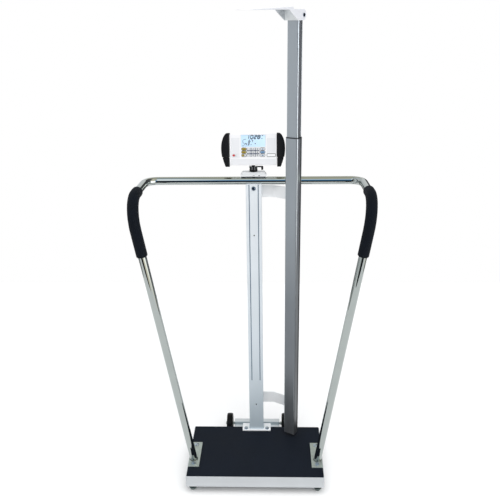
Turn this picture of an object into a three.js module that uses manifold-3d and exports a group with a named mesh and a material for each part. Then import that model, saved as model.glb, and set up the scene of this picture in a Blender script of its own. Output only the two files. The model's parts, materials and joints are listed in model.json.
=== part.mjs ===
// High-capacity handrail scale: a low platform on load cells, a column with a bent handrail, a swivelling
// weight indicator and a telescoping height rod, with two transport wheels behind the platform.
// Millimetres, +Z up. X runs across the platform, Y from its front edge to the column at its back.
import * as THREE from 'three';
import { mergeVertices } from 'three/addons/utils/BufferGeometryUtils.js';
import Module from 'manifold-3d';

const wasm = await Module();
wasm.setup();

// ---- driving dimensions -------------------------------------------------------------------------------
const GAP = 0.3; // clearance between pieces that touch
const DEG = Math.PI / 180;

const deck = { width: 614, depth: 366, front: -3, bottom: 36, top: 90, sheet: 3, corner: 6 };
const mat = { width: 608, depth: 358, thickness: 3.7, corner: 3 };
const matTop = deck.top + GAP + mat.thickness;
const deckBack = deck.front + deck.depth;

const cell = { length: 96, width: 24, bottom: 44, top: 62, pad: 3.7, footX: 280, footY: 28, bore: 5.4 };
const foot = { base: 11, disc: 18.5, discTop: 17, stem: 5, stemTop: 68 };
const stiffener = { beamX: 215, beamWidth: 30, crossY: [105, 255], bottom: 66, wall: 3 };

const plate = { inner: 254, outer: 304, front: 57, back: 229, thickness: 4 };
const plateTop = matTop + GAP + plate.thickness;
const plateBolt = { x: 280, y: [79, 209], shank: 5, head: 9 };

const rail = { radius: 16.7, wall: 2, sides: 12, footX: 280.5, footY: 110, cornerX: 463, cornerY: 32 };
const bar = { y: 354, z: 1340.5, x: 456, frontBend: 112, backBend: 52, bendSteps: 6 };
const grip = { inner: 17.6, outer: 22.4, low: 1117, back: 186 };

const base = { width: 137, front: 322, back: 378, thickness: 6, boltX: 51, boltY: 336 };
const baseTop = matTop + GAP + base.thickness;
const column = { width: 67, depth: 40, front: 333.5, top: 1328, wall: 2.5, corner: 3 };
const groove = { x: 19.3, width: 5, depth: 1.3, bottom: 373 };
const columnHoles = [240, 1102];
const columnBack = column.front + column.depth;
const columnY = column.front + column.depth / 2;

const rod = {
  x: 166.1, y: 301.4, turn: 30, width: 56, depth: 41, wall: 3, corner: 6, bottom: 112, top: 1529,
};
const rodSlot = { from: 4, to: 15, depth: 1.8 };
const collar = { height: 4, play: 0.6 };
const mast = { width: 49, depth: 34, wall: 2.5, corner: 4, bottom: 973, top: 1973 };
const strap = { thickness: 3, low: [228, 286], high: [1262.5, 1315], columnX: -22 };

const head = {
  half: 32, cheek: 3, pivotY: 10, pivotZ: 1992, webY: -26, web: 3, bottom: 1973, cheekTop: 2012.5,
  bladeRoot: -74, gussetFront: -106, under: 2011, tip: -376, tipRound: 24, rootTop: 2021, tipTop: 2013,
};
const pin = { radius: 4, bore: 4.5, headRadius: 7, headLength: 3 };

const pivot = { y: 350, z: 1399, tilt: 10 };
const ear = { front: -14, back: 4, top: 5, disk: 3 };
const bracket = { top: 1380, thickness: 2.5, topHalf: 45, footHalf: 54, depth: 30 };
const post = { radius: 17, top: 1388, stem: 5, bore: 5.5, stemBottom: 1302 };
const shell = {
  half: 97, bottom: 9.3, top: 137.8, wall: 2.5, face: 3, front: -30, split: -9, back: 16, corner: 6,
};
const endCap = {
  inner: 97.3, bulge: 34.8, topWidth: 16, bottomWidth: 17, low: 2.5, high: 140, front: -31.5, back: 15,
};
const lcd = { left: -50.7, right: 52.1, low: 82.7, high: 133.8, lip: 1.5 };
const keyRows = [75.4, 62.8, 49.8];
const keySize = { oval: [19, 9], square: [14.5, 9], proud: 1.1, flange: 1.2 };

const wheel = { x: 137.5, y: 439, z: 56, radius: 50, width: 29, bore: 5.4, hub: 15 };
const axle = { radius: 5, half: 158, headRadius: 8, headLength: 5 };
const crossbar = { half: 112, front: 424, back: 454, top: 74, shelf: 57, bottom: 42, sheet: 3 };

// The object stands on z = 0, with its origin under the middle of its bounding box.
const rodTurn = rod.turn * DEG;
const tipInset = [head.half - head.tipRound, -head.tip - head.tipRound];
const tipReach = tipInset[0] * Math.sin(rodTurn) + tipInset[1] * Math.cos(rodTurn) + head.tipRound;
const frontReach = rod.y - tipReach;
const backReach = wheel.y + wheel.radius;
const originY = (frontReach + backReach) / 2;

// ---- materials ----------------------------------------------------------------------------------------
function finish(color, roughness, metalness) {
  return new THREE.MeshStandardMaterial({ color, roughness, metalness });
}

const paint = finish(0xc6ccd0, 0.5, 0.1);
const rubber = finish(0x1d222a, 0.85, 0);
const foam = finish(0x141a22, 0.9, 0);
const chrome = finish(0xc8ccd0, 0.12, 1);
const zinc = finish(0x8d938c, 0.4, 0.9);
const satin = finish(0x9ba1a7, 0.4, 0.8);
const white = finish(0xe8eaf0, 0.45, 0);
const black = finish(0x202022, 0.5, 0);
const glass = finish(0xd2e8f6, 0.15, 0);
const board = finish(0x2f6b45, 0.6, 0);
const yellow = finish(0xaa9600, 0.5, 0);
const blue = finish(0x6e96be, 0.5, 0);
const red = finish(0xd21a1a, 0.5, 0);
const grey = finish(0xd6d8da, 0.5, 0);

// ---- solids -------------------------------------------------------------------------------------------
function toSolid(geometry) {
  const bare = geometry.clone();
  bare.deleteAttribute('normal');
  bare.deleteAttribute('uv');
  const merged = mergeVertices(bare, 1e-4);
  const index = merged.index.array;
  const mesh = new wasm.Mesh({
    numProp: 3,
    vertProperties: new Float32Array(merged.attributes.position.array),
    triVerts: new Uint32Array(index),
  });
  return new wasm.Manifold(mesh);
}

function toGeometry(solid) {
  const mesh = solid.getMesh();
  const geometry = new THREE.BufferGeometry();
  geometry.setAttribute('position', new THREE.BufferAttribute(new Float32Array(mesh.vertProperties), 3));
  geometry.setIndex(new THREE.BufferAttribute(new Uint32Array(mesh.triVerts), 1));
  geometry.computeVertexNormals();
  return geometry;
}

function cut(stock, tools) {
  return toGeometry(tools.map(toSolid).reduce((rest, tool) => rest.subtract(tool), toSolid(stock)));
}

function join(pieces) {
  return toGeometry(pieces.map(toSolid).reduce((sum, piece) => sum.add(piece)));
}

function keep(stock, tool) {
  return toGeometry(toSolid(stock).intersect(toSolid(tool)));
}

// A box from one corner to the opposite corner.
function block(x0, x1, y0, y1, z0, z1) {
  const geometry = new THREE.BoxGeometry(x1 - x0, y1 - y0, z1 - z0);
  return geometry.translate((x0 + x1) / 2, (y0 + y1) / 2, (z0 + z1) / 2);
}

function roundedRect(width, height, radius, Kind = THREE.Shape) {
  const x = width / 2;
  const y = height / 2;
  const outline = new Kind();
  outline.moveTo(-x + radius, -y);
  outline.lineTo(x - radius, -y);
  outline.absarc(x - radius, -y + radius, radius, -Math.PI / 2, 0, false);
  outline.lineTo(x, y - radius);
  outline.absarc(x - radius, y - radius, radius, 0, Math.PI / 2, false);
  outline.lineTo(-x + radius, y);
  outline.absarc(-x + radius, y - radius, radius, Math.PI / 2, Math.PI, false);
  outline.lineTo(-x, -y + radius);
  outline.absarc(-x + radius, -y + radius, radius, Math.PI, 1.5 * Math.PI, false);
  return outline;
}

function polygon(points) {
  return new THREE.Shape(points.map(([x, y]) => new THREE.Vector2(x, y)));
}

// An outline in X and Y, raised from z0 to z1.
function prism(shape, z0, z1, curveSegments = 3) {
  const geometry = new THREE.ExtrudeGeometry(shape, { depth: z1 - z0, bevelEnabled: false, curveSegments });
  return geometry.translate(0, 0, z0);
}

// An outline in X and Z, run along Y from y0 to y1.
function slabY(shape, y0, y1, curveSegments = 3) {
  return prism(shape, -y1, -y0, curveSegments).rotateX(Math.PI / 2);
}

// An outline in Y and Z, run along X from x0 to x1.
function slabX(shape, x0, x1, curveSegments = 3) {
  return prism(shape, x0, x1, curveSegments).rotateX(Math.PI / 2).rotateZ(Math.PI / 2);
}

function disc(radius, z0, z1, sides = 16) {
  return new THREE.CylinderGeometry(radius, radius, z1 - z0, sides).rotateX(Math.PI / 2)
    .translate(0, 0, (z0 + z1) / 2);
}

function discX(radius, x0, x1, y, z, sides = 16) {
  return disc(radius, x0, x1, sides).rotateY(Math.PI / 2).translate(0, y, z);
}

const discY = (radius, y0, y1, x, z, sides = 10) => disc(radius, -y1, -y0, sides).rotateX(Math.PI / 2)
  .translate(x, 0, z);

// A turned piece: outline points are [radius, height], and it starts and ends on the axis.
function turned(points, sides = 32) {
  const profile = points.map(([radius, height]) => new THREE.Vector2(radius, height));
  return new THREE.LatheGeometry(profile, sides).rotateX(Math.PI / 2);
}

// A path through given points, one step for each, so straight stretches stay cheap.
class KnotPath extends THREE.Curve {
  constructor(knots) {
    super();
    this.knots = knots;
  }

  getPoint(t) {
    const last = this.knots.length - 1;
    return this.knots[Math.min(last, Math.round(t * last))].clone();
  }

  getPointAt(t) {
    return this.getPoint(t);
  }

  getTangentAt(t) {
    const last = this.knots.length - 1;
    const here = Math.min(last, Math.round(t * last));
    const before = this.knots[Math.max(0, here - 1)];
    const middle = this.knots[here];
    const after = this.knots[Math.min(last, here + 1)];
    const arriving = middle.clone().sub(before).normalize();
    const leaving = after.clone().sub(middle).normalize();
    return arriving.add(leaving).normalize();
  }
}

// The arc that rounds the corner at b between a and c.
function bend(a, b, c, radius, steps) {
  const toA = a.clone().sub(b).normalize();
  const toC = c.clone().sub(b).normalize();
  const half = Math.acos(toA.dot(toC)) / 2;
  const centre = toA.clone().add(toC).normalize().multiplyScalar(radius / Math.sin(half)).add(b);
  const start = toA.clone().multiplyScalar(radius / Math.tan(half)).add(b).sub(centre).normalize();
  const end = toC.clone().multiplyScalar(radius / Math.tan(half)).add(b).sub(centre).normalize();
  const sweep = Math.PI - 2 * half;
  const points = [];
  for (let i = 0; i <= steps; i += 1) {
    const angle = (sweep * i) / steps;
    const point = start.clone().multiplyScalar(Math.sin(sweep - angle));
    point.addScaledVector(end, Math.sin(angle)).multiplyScalar(radius / Math.sin(sweep)).add(centre);
    points.push(point);
  }
  return points;
}

function tubeAlong(knots, outer, inner, sides) {
  const section = new THREE.Shape();
  section.absarc(0, 0, outer, 0, 2 * Math.PI, false);
  const hole = new THREE.Path();
  hole.absarc(0, 0, inner, 0, 2 * Math.PI, true);
  section.holes.push(hole);
  const extrudePath = new KnotPath(knots);
  const settings = { steps: knots.length - 1, curveSegments: sides / 2, bevelEnabled: false, extrudePath };
  return new THREE.ExtrudeGeometry(section, settings);
}

// A hollow bar with rounded corners, open at both ends.
function boxTube(size, z0, z1) {
  const section = roundedRect(size.width, size.depth, size.corner);
  const bore = [size.width - 2 * size.wall, size.depth - 2 * size.wall];
  section.holes.push(roundedRect(...bore, Math.max(0.8, size.corner - size.wall), THREE.Path));
  return prism(section, z0, z1);
}

// ---- scene graph --------------------------------------------------------------------------------------
const scale = new THREE.Group();
scale.position.y = -originY;

function add(name, geometry, material, parent = scale) {
  const mesh = new THREE.Mesh(geometry, material);
  mesh.name = name;
  parent.add(mesh);
  return mesh;
}

// ---- platform -----------------------------------------------------------------------------------------
const corners = [[-1, 0], [1, 0], [-1, 1], [1, 1]];
const boltHoles = [
  ...[-1, 1].flatMap((side) => plateBolt.y.map((y) => [side * plateBolt.x, y])),
  [-base.boltX, base.boltY],
  [base.boltX, base.boltY],
];

function boltCuts(z0, z1) {
  return boltHoles.map(([x, y]) => disc(plateBolt.shank + 2 * GAP, z0, z1, 10).translate(x, y, 0));
}

function addPlatform() {
  const middle = deck.front + deck.depth / 2;
  const outer = prism(roundedRect(deck.width, deck.depth, deck.corner), deck.bottom, deck.top)
    .translate(0, middle, 0);
  const [width, depth] = [deck.width - 2 * deck.sheet, deck.depth - 2 * deck.sheet];
  const hollow = roundedRect(width, depth, deck.corner - deck.sheet);
  const inner = prism(hollow, deck.bottom - 5, deck.top - deck.sheet).translate(0, middle, 0);
  add('platform_deck', cut(outer, [inner, ...boltCuts(deck.top - 10, deck.top + 5)]), paint);

  const matBottom = deck.top + GAP;
  const sheet = prism(roundedRect(mat.width, mat.depth, mat.corner), matBottom, matTop)
    .translate(0, mat.depth / 2, 0);
  add('tread_mat', cut(sheet, boltCuts(matBottom - 2, matTop + 2)), rubber);
}

function addStiffener() {
  const top = deck.top - deck.sheet - GAP;
  const wall = stiffener.wall;
  const beams = (inset, z0, z1) => {
    const half = stiffener.beamWidth / 2 - inset;
    const sides = [-1, 1].map((side) => {
      const x = side * stiffener.beamX;
      return block(x - half, x + half, 10 + inset, 350 - inset, z0, z1);
    });
    const reach = stiffener.beamX;
    const across = stiffener.crossY.map((y) => block(-reach, reach, y - half, y + half, z0, z1));
    return join([...sides, ...across]);
  };
  const channel = cut(beams(0, stiffener.bottom, top), [beams(wall, stiffener.bottom - 5, top - wall)]);
  const seats = corners.map(([side, back]) => {
    const y = back ? deck.depth - 6 - cell.footY : cell.footY;
    const x = side * stiffener.beamX;
    return block(x - 14, x + 14, y - 11, y + 11, stiffener.bottom, top - 1);
  });
  add('stiffener_frame', join([channel, ...seats]), zinc);
}

// A bending-beam load cell, fixed at its inner end, with the foot's stud through its outer end.
function loadCellGeometry() {
  const outer = cell.footX + 16;
  const inner = outer - cell.length;
  const half = cell.width / 2;
  const beam = block(inner, outer, -half, half, cell.bottom, cell.top);
  const pad = block(inner, inner + 32, -half + 1, half - 1, cell.bottom + 2, cell.top + cell.pad);
  const middle = (cell.bottom + cell.top) / 2;
  const windows = [246, 258].map((x) => discY(6, -half - 2, half + 2, x, middle));
  const stud = disc(cell.bore, cell.bottom - 2, cell.top + 2).translate(cell.footX, 0, 0);
  return cut(join([beam, pad]), [...windows, stud]);
}

// A levelling foot: tapered pad, stud and lock nut.
function footGeometry() {
  const body = turned([
    [0, 0], [foot.base, 0], [foot.disc, 13], [foot.disc, foot.discTop], [8, foot.discTop + 2],
    [foot.stem, foot.discTop + 4], [foot.stem, foot.stemTop], [0, foot.stemTop],
  ], 16);
  const nut = disc(8.5, cell.bottom - GAP - 8, cell.bottom - GAP, 6);
  return join([body, nut]);
}

function addSupports() {
  corners.forEach(([side, back], index) => {
    const y = back ? deck.depth - 6 - cell.footY : cell.footY;
    const beam = add(`load_cell_${index + 1}`, loadCellGeometry(), satin);
    beam.position.y = y;
    beam.rotation.z = side < 0 ? Math.PI : 0;
    const leg = add(`levelling_foot_${index + 1}`, footGeometry(), zinc);
    leg.position.set(side * cell.footX, y, 0);
  });
}

// Two hex bolts and the bar under the deck that they screw into.
function boltPair(ends, headBottom) {
  const barTop = deck.top - deck.sheet - GAP;
  const xs = ends.map(([x]) => x);
  const ys = ends.map(([, y]) => y);
  const margin = 8;
  const nutBar = block(Math.min(...xs) - margin, Math.max(...xs) + margin, Math.min(...ys) - margin,
    Math.max(...ys) + margin, barTop - 7, barTop);
  const bolts = ends.flatMap(([x, y]) => [
    disc(plateBolt.shank, barTop - 4, headBottom + 2, 10).translate(x, y, 0),
    disc(plateBolt.head, headBottom, headBottom + 6, 6).translate(x, y, 0),
  ]);
  return join([nutBar, ...bolts]);
}

function addFootPlates() {
  for (const [name, side] of [['left', -1], ['right', 1]]) {
    const xs = [side * plate.inner, side * plate.outer].sort((a, b) => a - b);
    const sheet = block(...xs, plate.front, plate.back, matTop + GAP, plateTop);
    add(`${name}_foot_plate`, cut(sheet, boltCuts(matTop - 2, plateTop + 2)), zinc);
    const ends = plateBolt.y.map((y) => [side * plateBolt.x, y]);
    add(`${name}_foot_plate_bolts`, boltPair(ends, plateTop + GAP), zinc);
  }
}

// ---- column -------------------------------------------------------------------------------------------
function addColumn() {
  const half = base.width / 2;
  const sheet = block(-half, half, base.front, base.back, matTop + GAP, baseTop);
  add('column_base_plate', cut(sheet, boltCuts(matTop - 2, baseTop + 2)), paint);
  add('column_bolts', boltPair([[-base.boltX, base.boltY], [base.boltX, base.boltY]], baseTop + GAP), zinc);

  const tube = boxTube(column, baseTop + GAP, column.top).translate(0, columnY, 0);
  const grooves = [-1, 1].map((side) => {
    const x = side * groove.x;
    const w = groove.width / 2;
    return block(x - w, x + w, column.front - 2, column.front + groove.depth, groove.bottom, column.top + 2);
  });
  const holes = columnHoles.map((z) => discY(2.6, column.front - 2, column.front + 6, 0, z));
  const notch = discX(rail.radius + 1, -50, 50, bar.y, bar.z, 24);
  add('column', cut(tube, [...grooves, ...holes, notch]), paint);
}

// The cradle that plugs the top of the column and carries the rail.
function addSaddle() {
  const inside = { width: column.width - 2 * column.wall - 1, depth: column.depth - 2 * column.wall - 1 };
  const plug = prism(roundedRect(inside.width, inside.depth, 1.5), column.top - 24, column.top + 2)
    .translate(0, columnY, 0);
  const cap = prism(roundedRect(column.width, column.depth, column.corner), column.top + GAP, column.top + 3)
    .translate(0, columnY, 0);
  const trough = discX(rail.radius + 1, -50, 50, bar.y, bar.z, 24);
  const stem = disc(post.bore, column.top - 40, bar.z, 16).translate(0, bar.y, 0);
  add('rail_saddle', cut(join([plug, cap]), [trough, stem]), paint);
}

// ---- handrail -----------------------------------------------------------------------------------------
function railCorners(side) {
  const start = new THREE.Vector3(side * rail.footX, rail.footY, plateTop - 12);
  const front = new THREE.Vector3(side * rail.cornerX, rail.cornerY, bar.z);
  const back = new THREE.Vector3(side * bar.x, bar.y, bar.z);
  return [start, front, back];
}

function railSide(side) {
  const [start, front, back] = railCorners(side);
  const middle = new THREE.Vector3(0, bar.y, bar.z);
  return [
    start,
    ...bend(start, front, back, bar.frontBend, bar.bendSteps),
    ...bend(front, back, middle, bar.backBend, bar.bendSteps),
  ];
}

function addHandrail() {
  const knots = [...railSide(-1), ...railSide(1).reverse()];
  const tube = tubeAlong(knots, rail.radius, rail.radius - rail.wall, rail.sides);
  const above = block(-600, 600, -200, 600, plateTop + GAP, 1600);
  const stem = disc(post.bore, bar.z - 30, bar.z + 30, 16).translate(0, bar.y, 0);
  add('handrail', cut(keep(tube, above), [stem]), chrome);
}

// The point on the straight leg at a height.
function legPoint(side, z) {
  const [start, front] = railCorners(side);
  return start.clone().lerp(front, (z - start.z) / (front.z - start.z));
}

function addGrips() {
  for (const [name, side] of [['left', -1], ['right', 1]]) {
    const [start, front, back] = railCorners(side);
    const end = front.clone().lerp(back, (grip.back - front.y) / (back.y - front.y));
    const knots = [legPoint(side, grip.low), ...bend(start, front, back, bar.frontBend, bar.bendSteps), end];
    add(`${name}_grip`, tubeAlong(knots, grip.outer, grip.inner, rail.sides), foam);
  }
}

// ---- height rod ---------------------------------------------------------------------------------------
const rodGroup = new THREE.Group();
rodGroup.position.set(rod.x, rod.y, 0);
rodGroup.rotation.z = -rodTurn;
scale.add(rodGroup);

function sideSlot(size, z0, z1) {
  const face = size.width / 2;
  const back = rodSlot.to - (rod.depth - size.depth) / 2;
  return block(face - rodSlot.depth, face + 2, rodSlot.from, back, z0, z1);
}

function addRod() {
  const outer = boxTube(rod, rod.bottom, rod.top);
  add('rod_outer', cut(outer, [sideSlot(rod, rod.bottom - 2, rod.top + 2)]), satin, rodGroup);
  const ring = roundedRect(rod.width, rod.depth, rod.corner);
  const throat = [mast.width + 2 * collar.play, mast.depth + 2 * collar.play];
  ring.holes.push(roundedRect(...throat, mast.corner, THREE.Path));
  add('rod_collar', prism(ring, rod.top + GAP, rod.top + GAP + collar.height), black, rodGroup);
  const inner = boxTube(mast, mast.bottom, mast.top);
  add('rod_inner', cut(inner, [sideSlot(mast, mast.bottom - 2, mast.top - 40)]), satin, rodGroup);
}

// A bent strap from the back of the column to the back face of the rod.
function strapOutline() {
  const back = new THREE.Vector2(0, rod.depth / 2 + GAP).rotateAround(new THREE.Vector2(), -rodTurn);
  const along = new THREE.Vector2(1, 0).rotateAround(new THREE.Vector2(), -rodTurn);
  const origin = new THREE.Vector2(rod.x, rod.y).add(back);
  const front = columnBack + GAP;
  const bendAt = origin.clone().addScaledVector(along, (front - origin.y) / along.y);
  const end = origin.clone().addScaledVector(along, rod.width / 2 - 4);
  const normal = along.clone().rotateAround(new THREE.Vector2(), Math.PI / 2);
  const t = strap.thickness;
  const miter = t * Math.tan(rodTurn / 2);
  const outerEnd = end.clone().addScaledVector(normal, t);
  return polygon([
    [strap.columnX, front], [bendAt.x, front], [end.x, end.y], [outerEnd.x, outerEnd.y],
    [bendAt.x + miter, front + t], [strap.columnX, front + t],
  ]);
}

function addStraps() {
  add('lower_rod_bracket', prism(strapOutline(), ...strap.low), white);
  add('upper_rod_bracket', prism(strapOutline(), ...strap.high), white);
}

function cheekShape() {
  const shape = new THREE.Shape();
  const middle = (head.cheekTop + head.bottom) / 2;
  const radius = (head.cheekTop - head.bottom) / 2;
  shape.moveTo(head.gussetFront, head.under);
  shape.lineTo(head.webY - head.web, head.bottom);
  shape.lineTo(head.pivotY, head.bottom);
  shape.absarc(head.pivotY, middle, radius, -Math.PI / 2, Math.PI / 2, false);
  shape.lineTo(head.bladeRoot, head.cheekTop);
  shape.lineTo(head.bladeRoot, head.under + 4);
  shape.lineTo(head.gussetFront, head.under + 4);
  return shape;
}

function bladeGeometry() {
  const side = polygon([
    [head.tip, head.under], [head.webY, head.under], [head.webY, head.cheekTop],
    [head.bladeRoot + 6, head.cheekTop], [head.bladeRoot, head.rootTop], [head.tip, head.tipTop],
  ]);
  const wedge = slabX(side, -head.half, head.half);
  const length = head.webY - head.tip;
  const spare = 60;
  const plan = roundedRect(2 * head.half, length + spare, head.tipRound);
  const round = prism(plan, head.under - 20, head.rootTop + 20, 4);
  return keep(wedge, round.translate(0, head.tip + (length + spare) / 2, 0));
}

function addHeadpiece() {
  const cheeks = [-1, 1].map((side) => {
    const xs = [side * head.half, side * (head.half - head.cheek)].sort((a, b) => a - b);
    return slabX(cheekShape(), ...xs, 10);
  });
  const web = block(-head.half, head.half, head.webY - head.web, head.webY, head.bottom, head.under + 1);
  const bore = discX(pin.bore, -head.half - 5, head.half + 5, head.pivotY, head.pivotZ);
  add('headpiece', cut(join([bladeGeometry(), web, ...cheeks]), [bore]), white, rodGroup);

  const half = head.half - head.cheek - GAP;
  const lowFront = head.webY + GAP;
  const low = block(-half, half, lowFront, mast.depth / 2, mast.top + GAP, head.pivotZ - 6);
  const high = block(-half, half, -mast.depth / 2, mast.depth / 2, head.pivotZ - 7, head.pivotZ + 12);
  const plugSize = [mast.width - 2 * mast.wall - 1, mast.depth - 2 * mast.wall - 1];
  const plug = prism(roundedRect(...plugSize, 1), mast.top - 28, mast.top + 1);
  const hole = discX(pin.bore, -half - 2, half + 2, head.pivotY, head.pivotZ);
  add('rod_head_block', cut(join([low, high, plug]), [hole]), black, rodGroup);

  const face = head.half + GAP;
  const shaft = discX(pin.radius, -face, face, head.pivotY, head.pivotZ);
  const heads = [[-face - pin.headLength, -face + 0.1], [face - 0.1, face + pin.headLength]].map(([a, b]) => (
    discX(pin.headRadius, a, b, head.pivotY, head.pivotZ)));
  add('headpiece_pin', join([shaft, ...heads]), zinc, rodGroup);
}

// ---- indicator ----------------------------------------------------------------------------------------
function addStand() {
  const low = bar.z + rail.radius + GAP;
  const t = bracket.thickness;
  const slope = 12;
  const outer = polygon([
    [-bracket.footHalf, low], [-bracket.footHalf, bracket.top - slope], [-bracket.topHalf, bracket.top],
    [bracket.topHalf, bracket.top], [bracket.footHalf, bracket.top - slope], [bracket.footHalf, low],
    [bracket.footHalf - t, low], [bracket.footHalf - t, bracket.top - slope - 1],
    [bracket.topHalf - 1, bracket.top - t], [-bracket.topHalf + 1, bracket.top - t],
    [-bracket.footHalf + t, bracket.top - slope - 1], [-bracket.footHalf + t, low],
  ]);
  const halfDepth = bracket.depth / 2;
  const hat = slabY(outer, bar.y - halfDepth, bar.y + halfDepth);
  const lip = block(-bracket.footHalf + 1, bracket.footHalf - 1, bar.y - halfDepth, bar.y - halfDepth + t,
    low, bracket.top - slope);
  const stem = disc(post.bore, low, bracket.top + 10, 16).translate(0, bar.y, 0);
  add('indicator_bracket', cut(join([hat, lip]), [stem]), white);

  const seat = bracket.top + GAP;
  const body = disc(post.radius, seat, post.top).translate(0, bar.y, 0);
  const stud = disc(post.stem, post.stemBottom, seat + 1, 16).translate(0, bar.y, 0);
  add('swivel_post', join([body, stud]), black);
}

const swivel = new THREE.Group();
swivel.position.set(0, bar.y, 0);
scale.add(swivel);

function addSwivelHead() {
  const low = post.top + GAP;
  const disk = disc(post.radius, low, low + ear.disk);
  const ears = [-1, 1].map((side) => {
    const xs = [side * 8, side * 14].sort((a, b) => a - b);
    return block(...xs, ear.front, ear.back, low + 2, pivot.z + ear.top);
  });
  const guard = block(-9, 9, ear.front, ear.front + 3, low + 2, pivot.z + ear.top - 1);
  const hook = [
    block(13, 41, 1.5, 6, pivot.z - 2, pivot.z + 3),
    block(32.5, 41, 1.5, 6, pivot.z - 13, pivot.z + 3),
  ];
  const y = pivot.y - bar.y;
  const hole = discX(3.4, -20, 20, y, pivot.z, 16);
  add('swivel_head', cut(join([disk, ...ears, guard, ...hook]), [hole]), black, swivel);
  const shaft = discX(3, -16.5, 16.5, y, pivot.z, 16);
  const heads = [discX(5, -17.3, -14.3, y, pivot.z, 16), discX(5, 14.3, 17.3, y, pivot.z, 16)];
  add('tilt_pin', join([shaft, ...heads]), zinc, swivel);
}

const indicator = new THREE.Group();
indicator.position.set(0, pivot.y, pivot.z);
indicator.rotation.x = -pivot.tilt * DEG;
scale.add(indicator);

const shellWidth = 2 * shell.half;
const shellHeight = shell.top - shell.bottom;
const shellMiddle = (shell.top + shell.bottom) / 2;

function shellShape(inset) {
  return roundedRect(shellWidth - 2 * inset, shellHeight - 2 * inset, shell.corner - inset);
}

const keys = [
  ...keyRows.map((z, row) => ({ name: `unit_key_${row + 1}`, x: -37.4, z, oval: true, colour: yellow })),
  ...keyRows.flatMap((z, row) => [-17.2, 0.5, 17.8].map((x, column) => (
    { name: `number_key_${3 * row + column + 1}`, x, z, oval: false, colour: grey }))),
  ...keyRows.map((z, row) => ({ name: `function_key_${row + 1}`, x: 39.2, z, oval: true, colour: blue })),
  { name: 'power_key', x: -75.6, z: 50.2, oval: true, colour: red },
];

function keyOutline(key, grow) {
  const [width, height] = key.oval ? keySize.oval : keySize.square;
  const round = key.oval ? height / 2 - 0.2 : 1.5;
  return roundedRect(width + 2 * grow, height + 2 * grow, round + grow);
}

const keySegments = (key) => (key.oval ? 3 : 1);

function addShells() {
  const lift = [0, 0, shellMiddle];
  const front = slabY(shellShape(0), shell.front, shell.split).translate(...lift);
  const hollow = slabY(shellShape(shell.wall), shell.front + shell.face, shell.split + 2).translate(...lift);
  const window = block(lcd.left + lcd.lip, lcd.right - lcd.lip, shell.front - 2, shell.front + 6,
    lcd.low + lcd.lip, lcd.high - lcd.lip);
  const holes = keys.map((key) => {
    const hole = slabY(keyOutline(key, 0.4), shell.front - 2, shell.front + 6, keySegments(key));
    return hole.translate(key.x, 0, key.z);
  });
  add('indicator_front', cut(front, [hollow, window, ...holes]), white, indicator);

  const back = slabY(shellShape(0), shell.split + GAP, shell.back).translate(...lift);
  const well = slabY(shellShape(shell.wall), shell.split - 2, shell.back - shell.wall).translate(...lift);
  const lug = block(-7, 7, -3, 9, 0, shell.bottom + 1);
  const knuckle = discX(6.5, -7, 7, 0, 0);
  const bore = discX(3.4, -9, 9, 0, 0);
  const casing = cut(back, [well]);
  add('indicator_back', cut(join([casing, lug, knuckle]), [bore]), white, indicator);
}

function addEndCaps() {
  const { inner, bulge, topWidth, bottomWidth, low, high } = endCap;
  for (const [name, side] of [['left', -1], ['right', 1]]) {
    const at = (x, z) => [side * (inner + x), z];
    const outline = new THREE.Shape();
    outline.moveTo(...at(1.5, low));
    outline.lineTo(...at(bottomWidth - 3, low));
    outline.quadraticCurveTo(...at(bottomWidth, low + 1), ...at(bottomWidth + 2, low + 6));
    outline.bezierCurveTo(...at(bulge + 2, shellMiddle - 16), ...at(bulge + 3, shellMiddle + 36),
      ...at(topWidth, high - 3));
    outline.quadraticCurveTo(...at(topWidth - 4, high), ...at(topWidth - 9, high));
    outline.lineTo(...at(1.5, high));
    const settings = {
      depth: endCap.back - endCap.front - 3, curveSegments: 6, bevelSize: 1.5, bevelThickness: 1.5,
      bevelSegments: 1,
    };
    const shape = side < 0 ? new THREE.Shape(outline.getPoints(6).reverse()) : outline;
    const geometry = new THREE.ExtrudeGeometry(shape, settings).rotateX(Math.PI / 2)
      .translate(0, endCap.back - 1.5, 0);
    add(`${name}_end_cap`, geometry, black, indicator);
  }
}

function addElectronics() {
  const behind = shell.front + shell.face + GAP;
  add('lcd_panel', block(lcd.left, lcd.right, behind, behind + 3, lcd.low, lcd.high), glass, indicator);
  add('circuit_board', block(-82, 82, behind + 3.6, behind + 5.2, 20, 132), board, indicator);
}

function addKeys() {
  for (const key of keys) {
    const faceBack = shell.front + shell.face;
    const flangeFront = faceBack + GAP;
    const steps = keySegments(key);
    const cap = slabY(keyOutline(key, 0), shell.front - keySize.proud, faceBack + 1, steps);
    const flange = slabY(keyOutline(key, 1.1), flangeFront, flangeFront + keySize.flange, steps);
    add(key.name, join([cap, flange]).translate(key.x, 0, key.z), key.colour, indicator);
  }
}

// ---- transport wheels ---------------------------------------------------------------------------------
function addCrossbar() {
  const t = crossbar.sheet;
  const { front, back, top, shelf, bottom } = crossbar;
  const skirt = deckBack + GAP;
  const profile = polygon([
    [skirt, bottom], [skirt + t, bottom], [skirt + t, shelf - t], [front + t, shelf - t],
    [front + t, top - t], [back - t, top - t], [back - t, bottom - 4], [back, bottom - 4], [back, top],
    [front, top], [front, shelf], [skirt, shelf],
  ]);
  const ears = [-1, 1].map((side) => {
    const xs = [side * crossbar.half, side * (crossbar.half - t)].sort((a, b) => a - b);
    return block(...xs, front, back, bottom - 4, top);
  });
  const holes = discX(axle.radius + GAP, -200, 200, wheel.y, wheel.z);
  const sheet = join([slabX(profile, -crossbar.half, crossbar.half), ...ears]);
  add('wheel_crossbar', cut(sheet, [holes]), paint);
}

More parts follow.
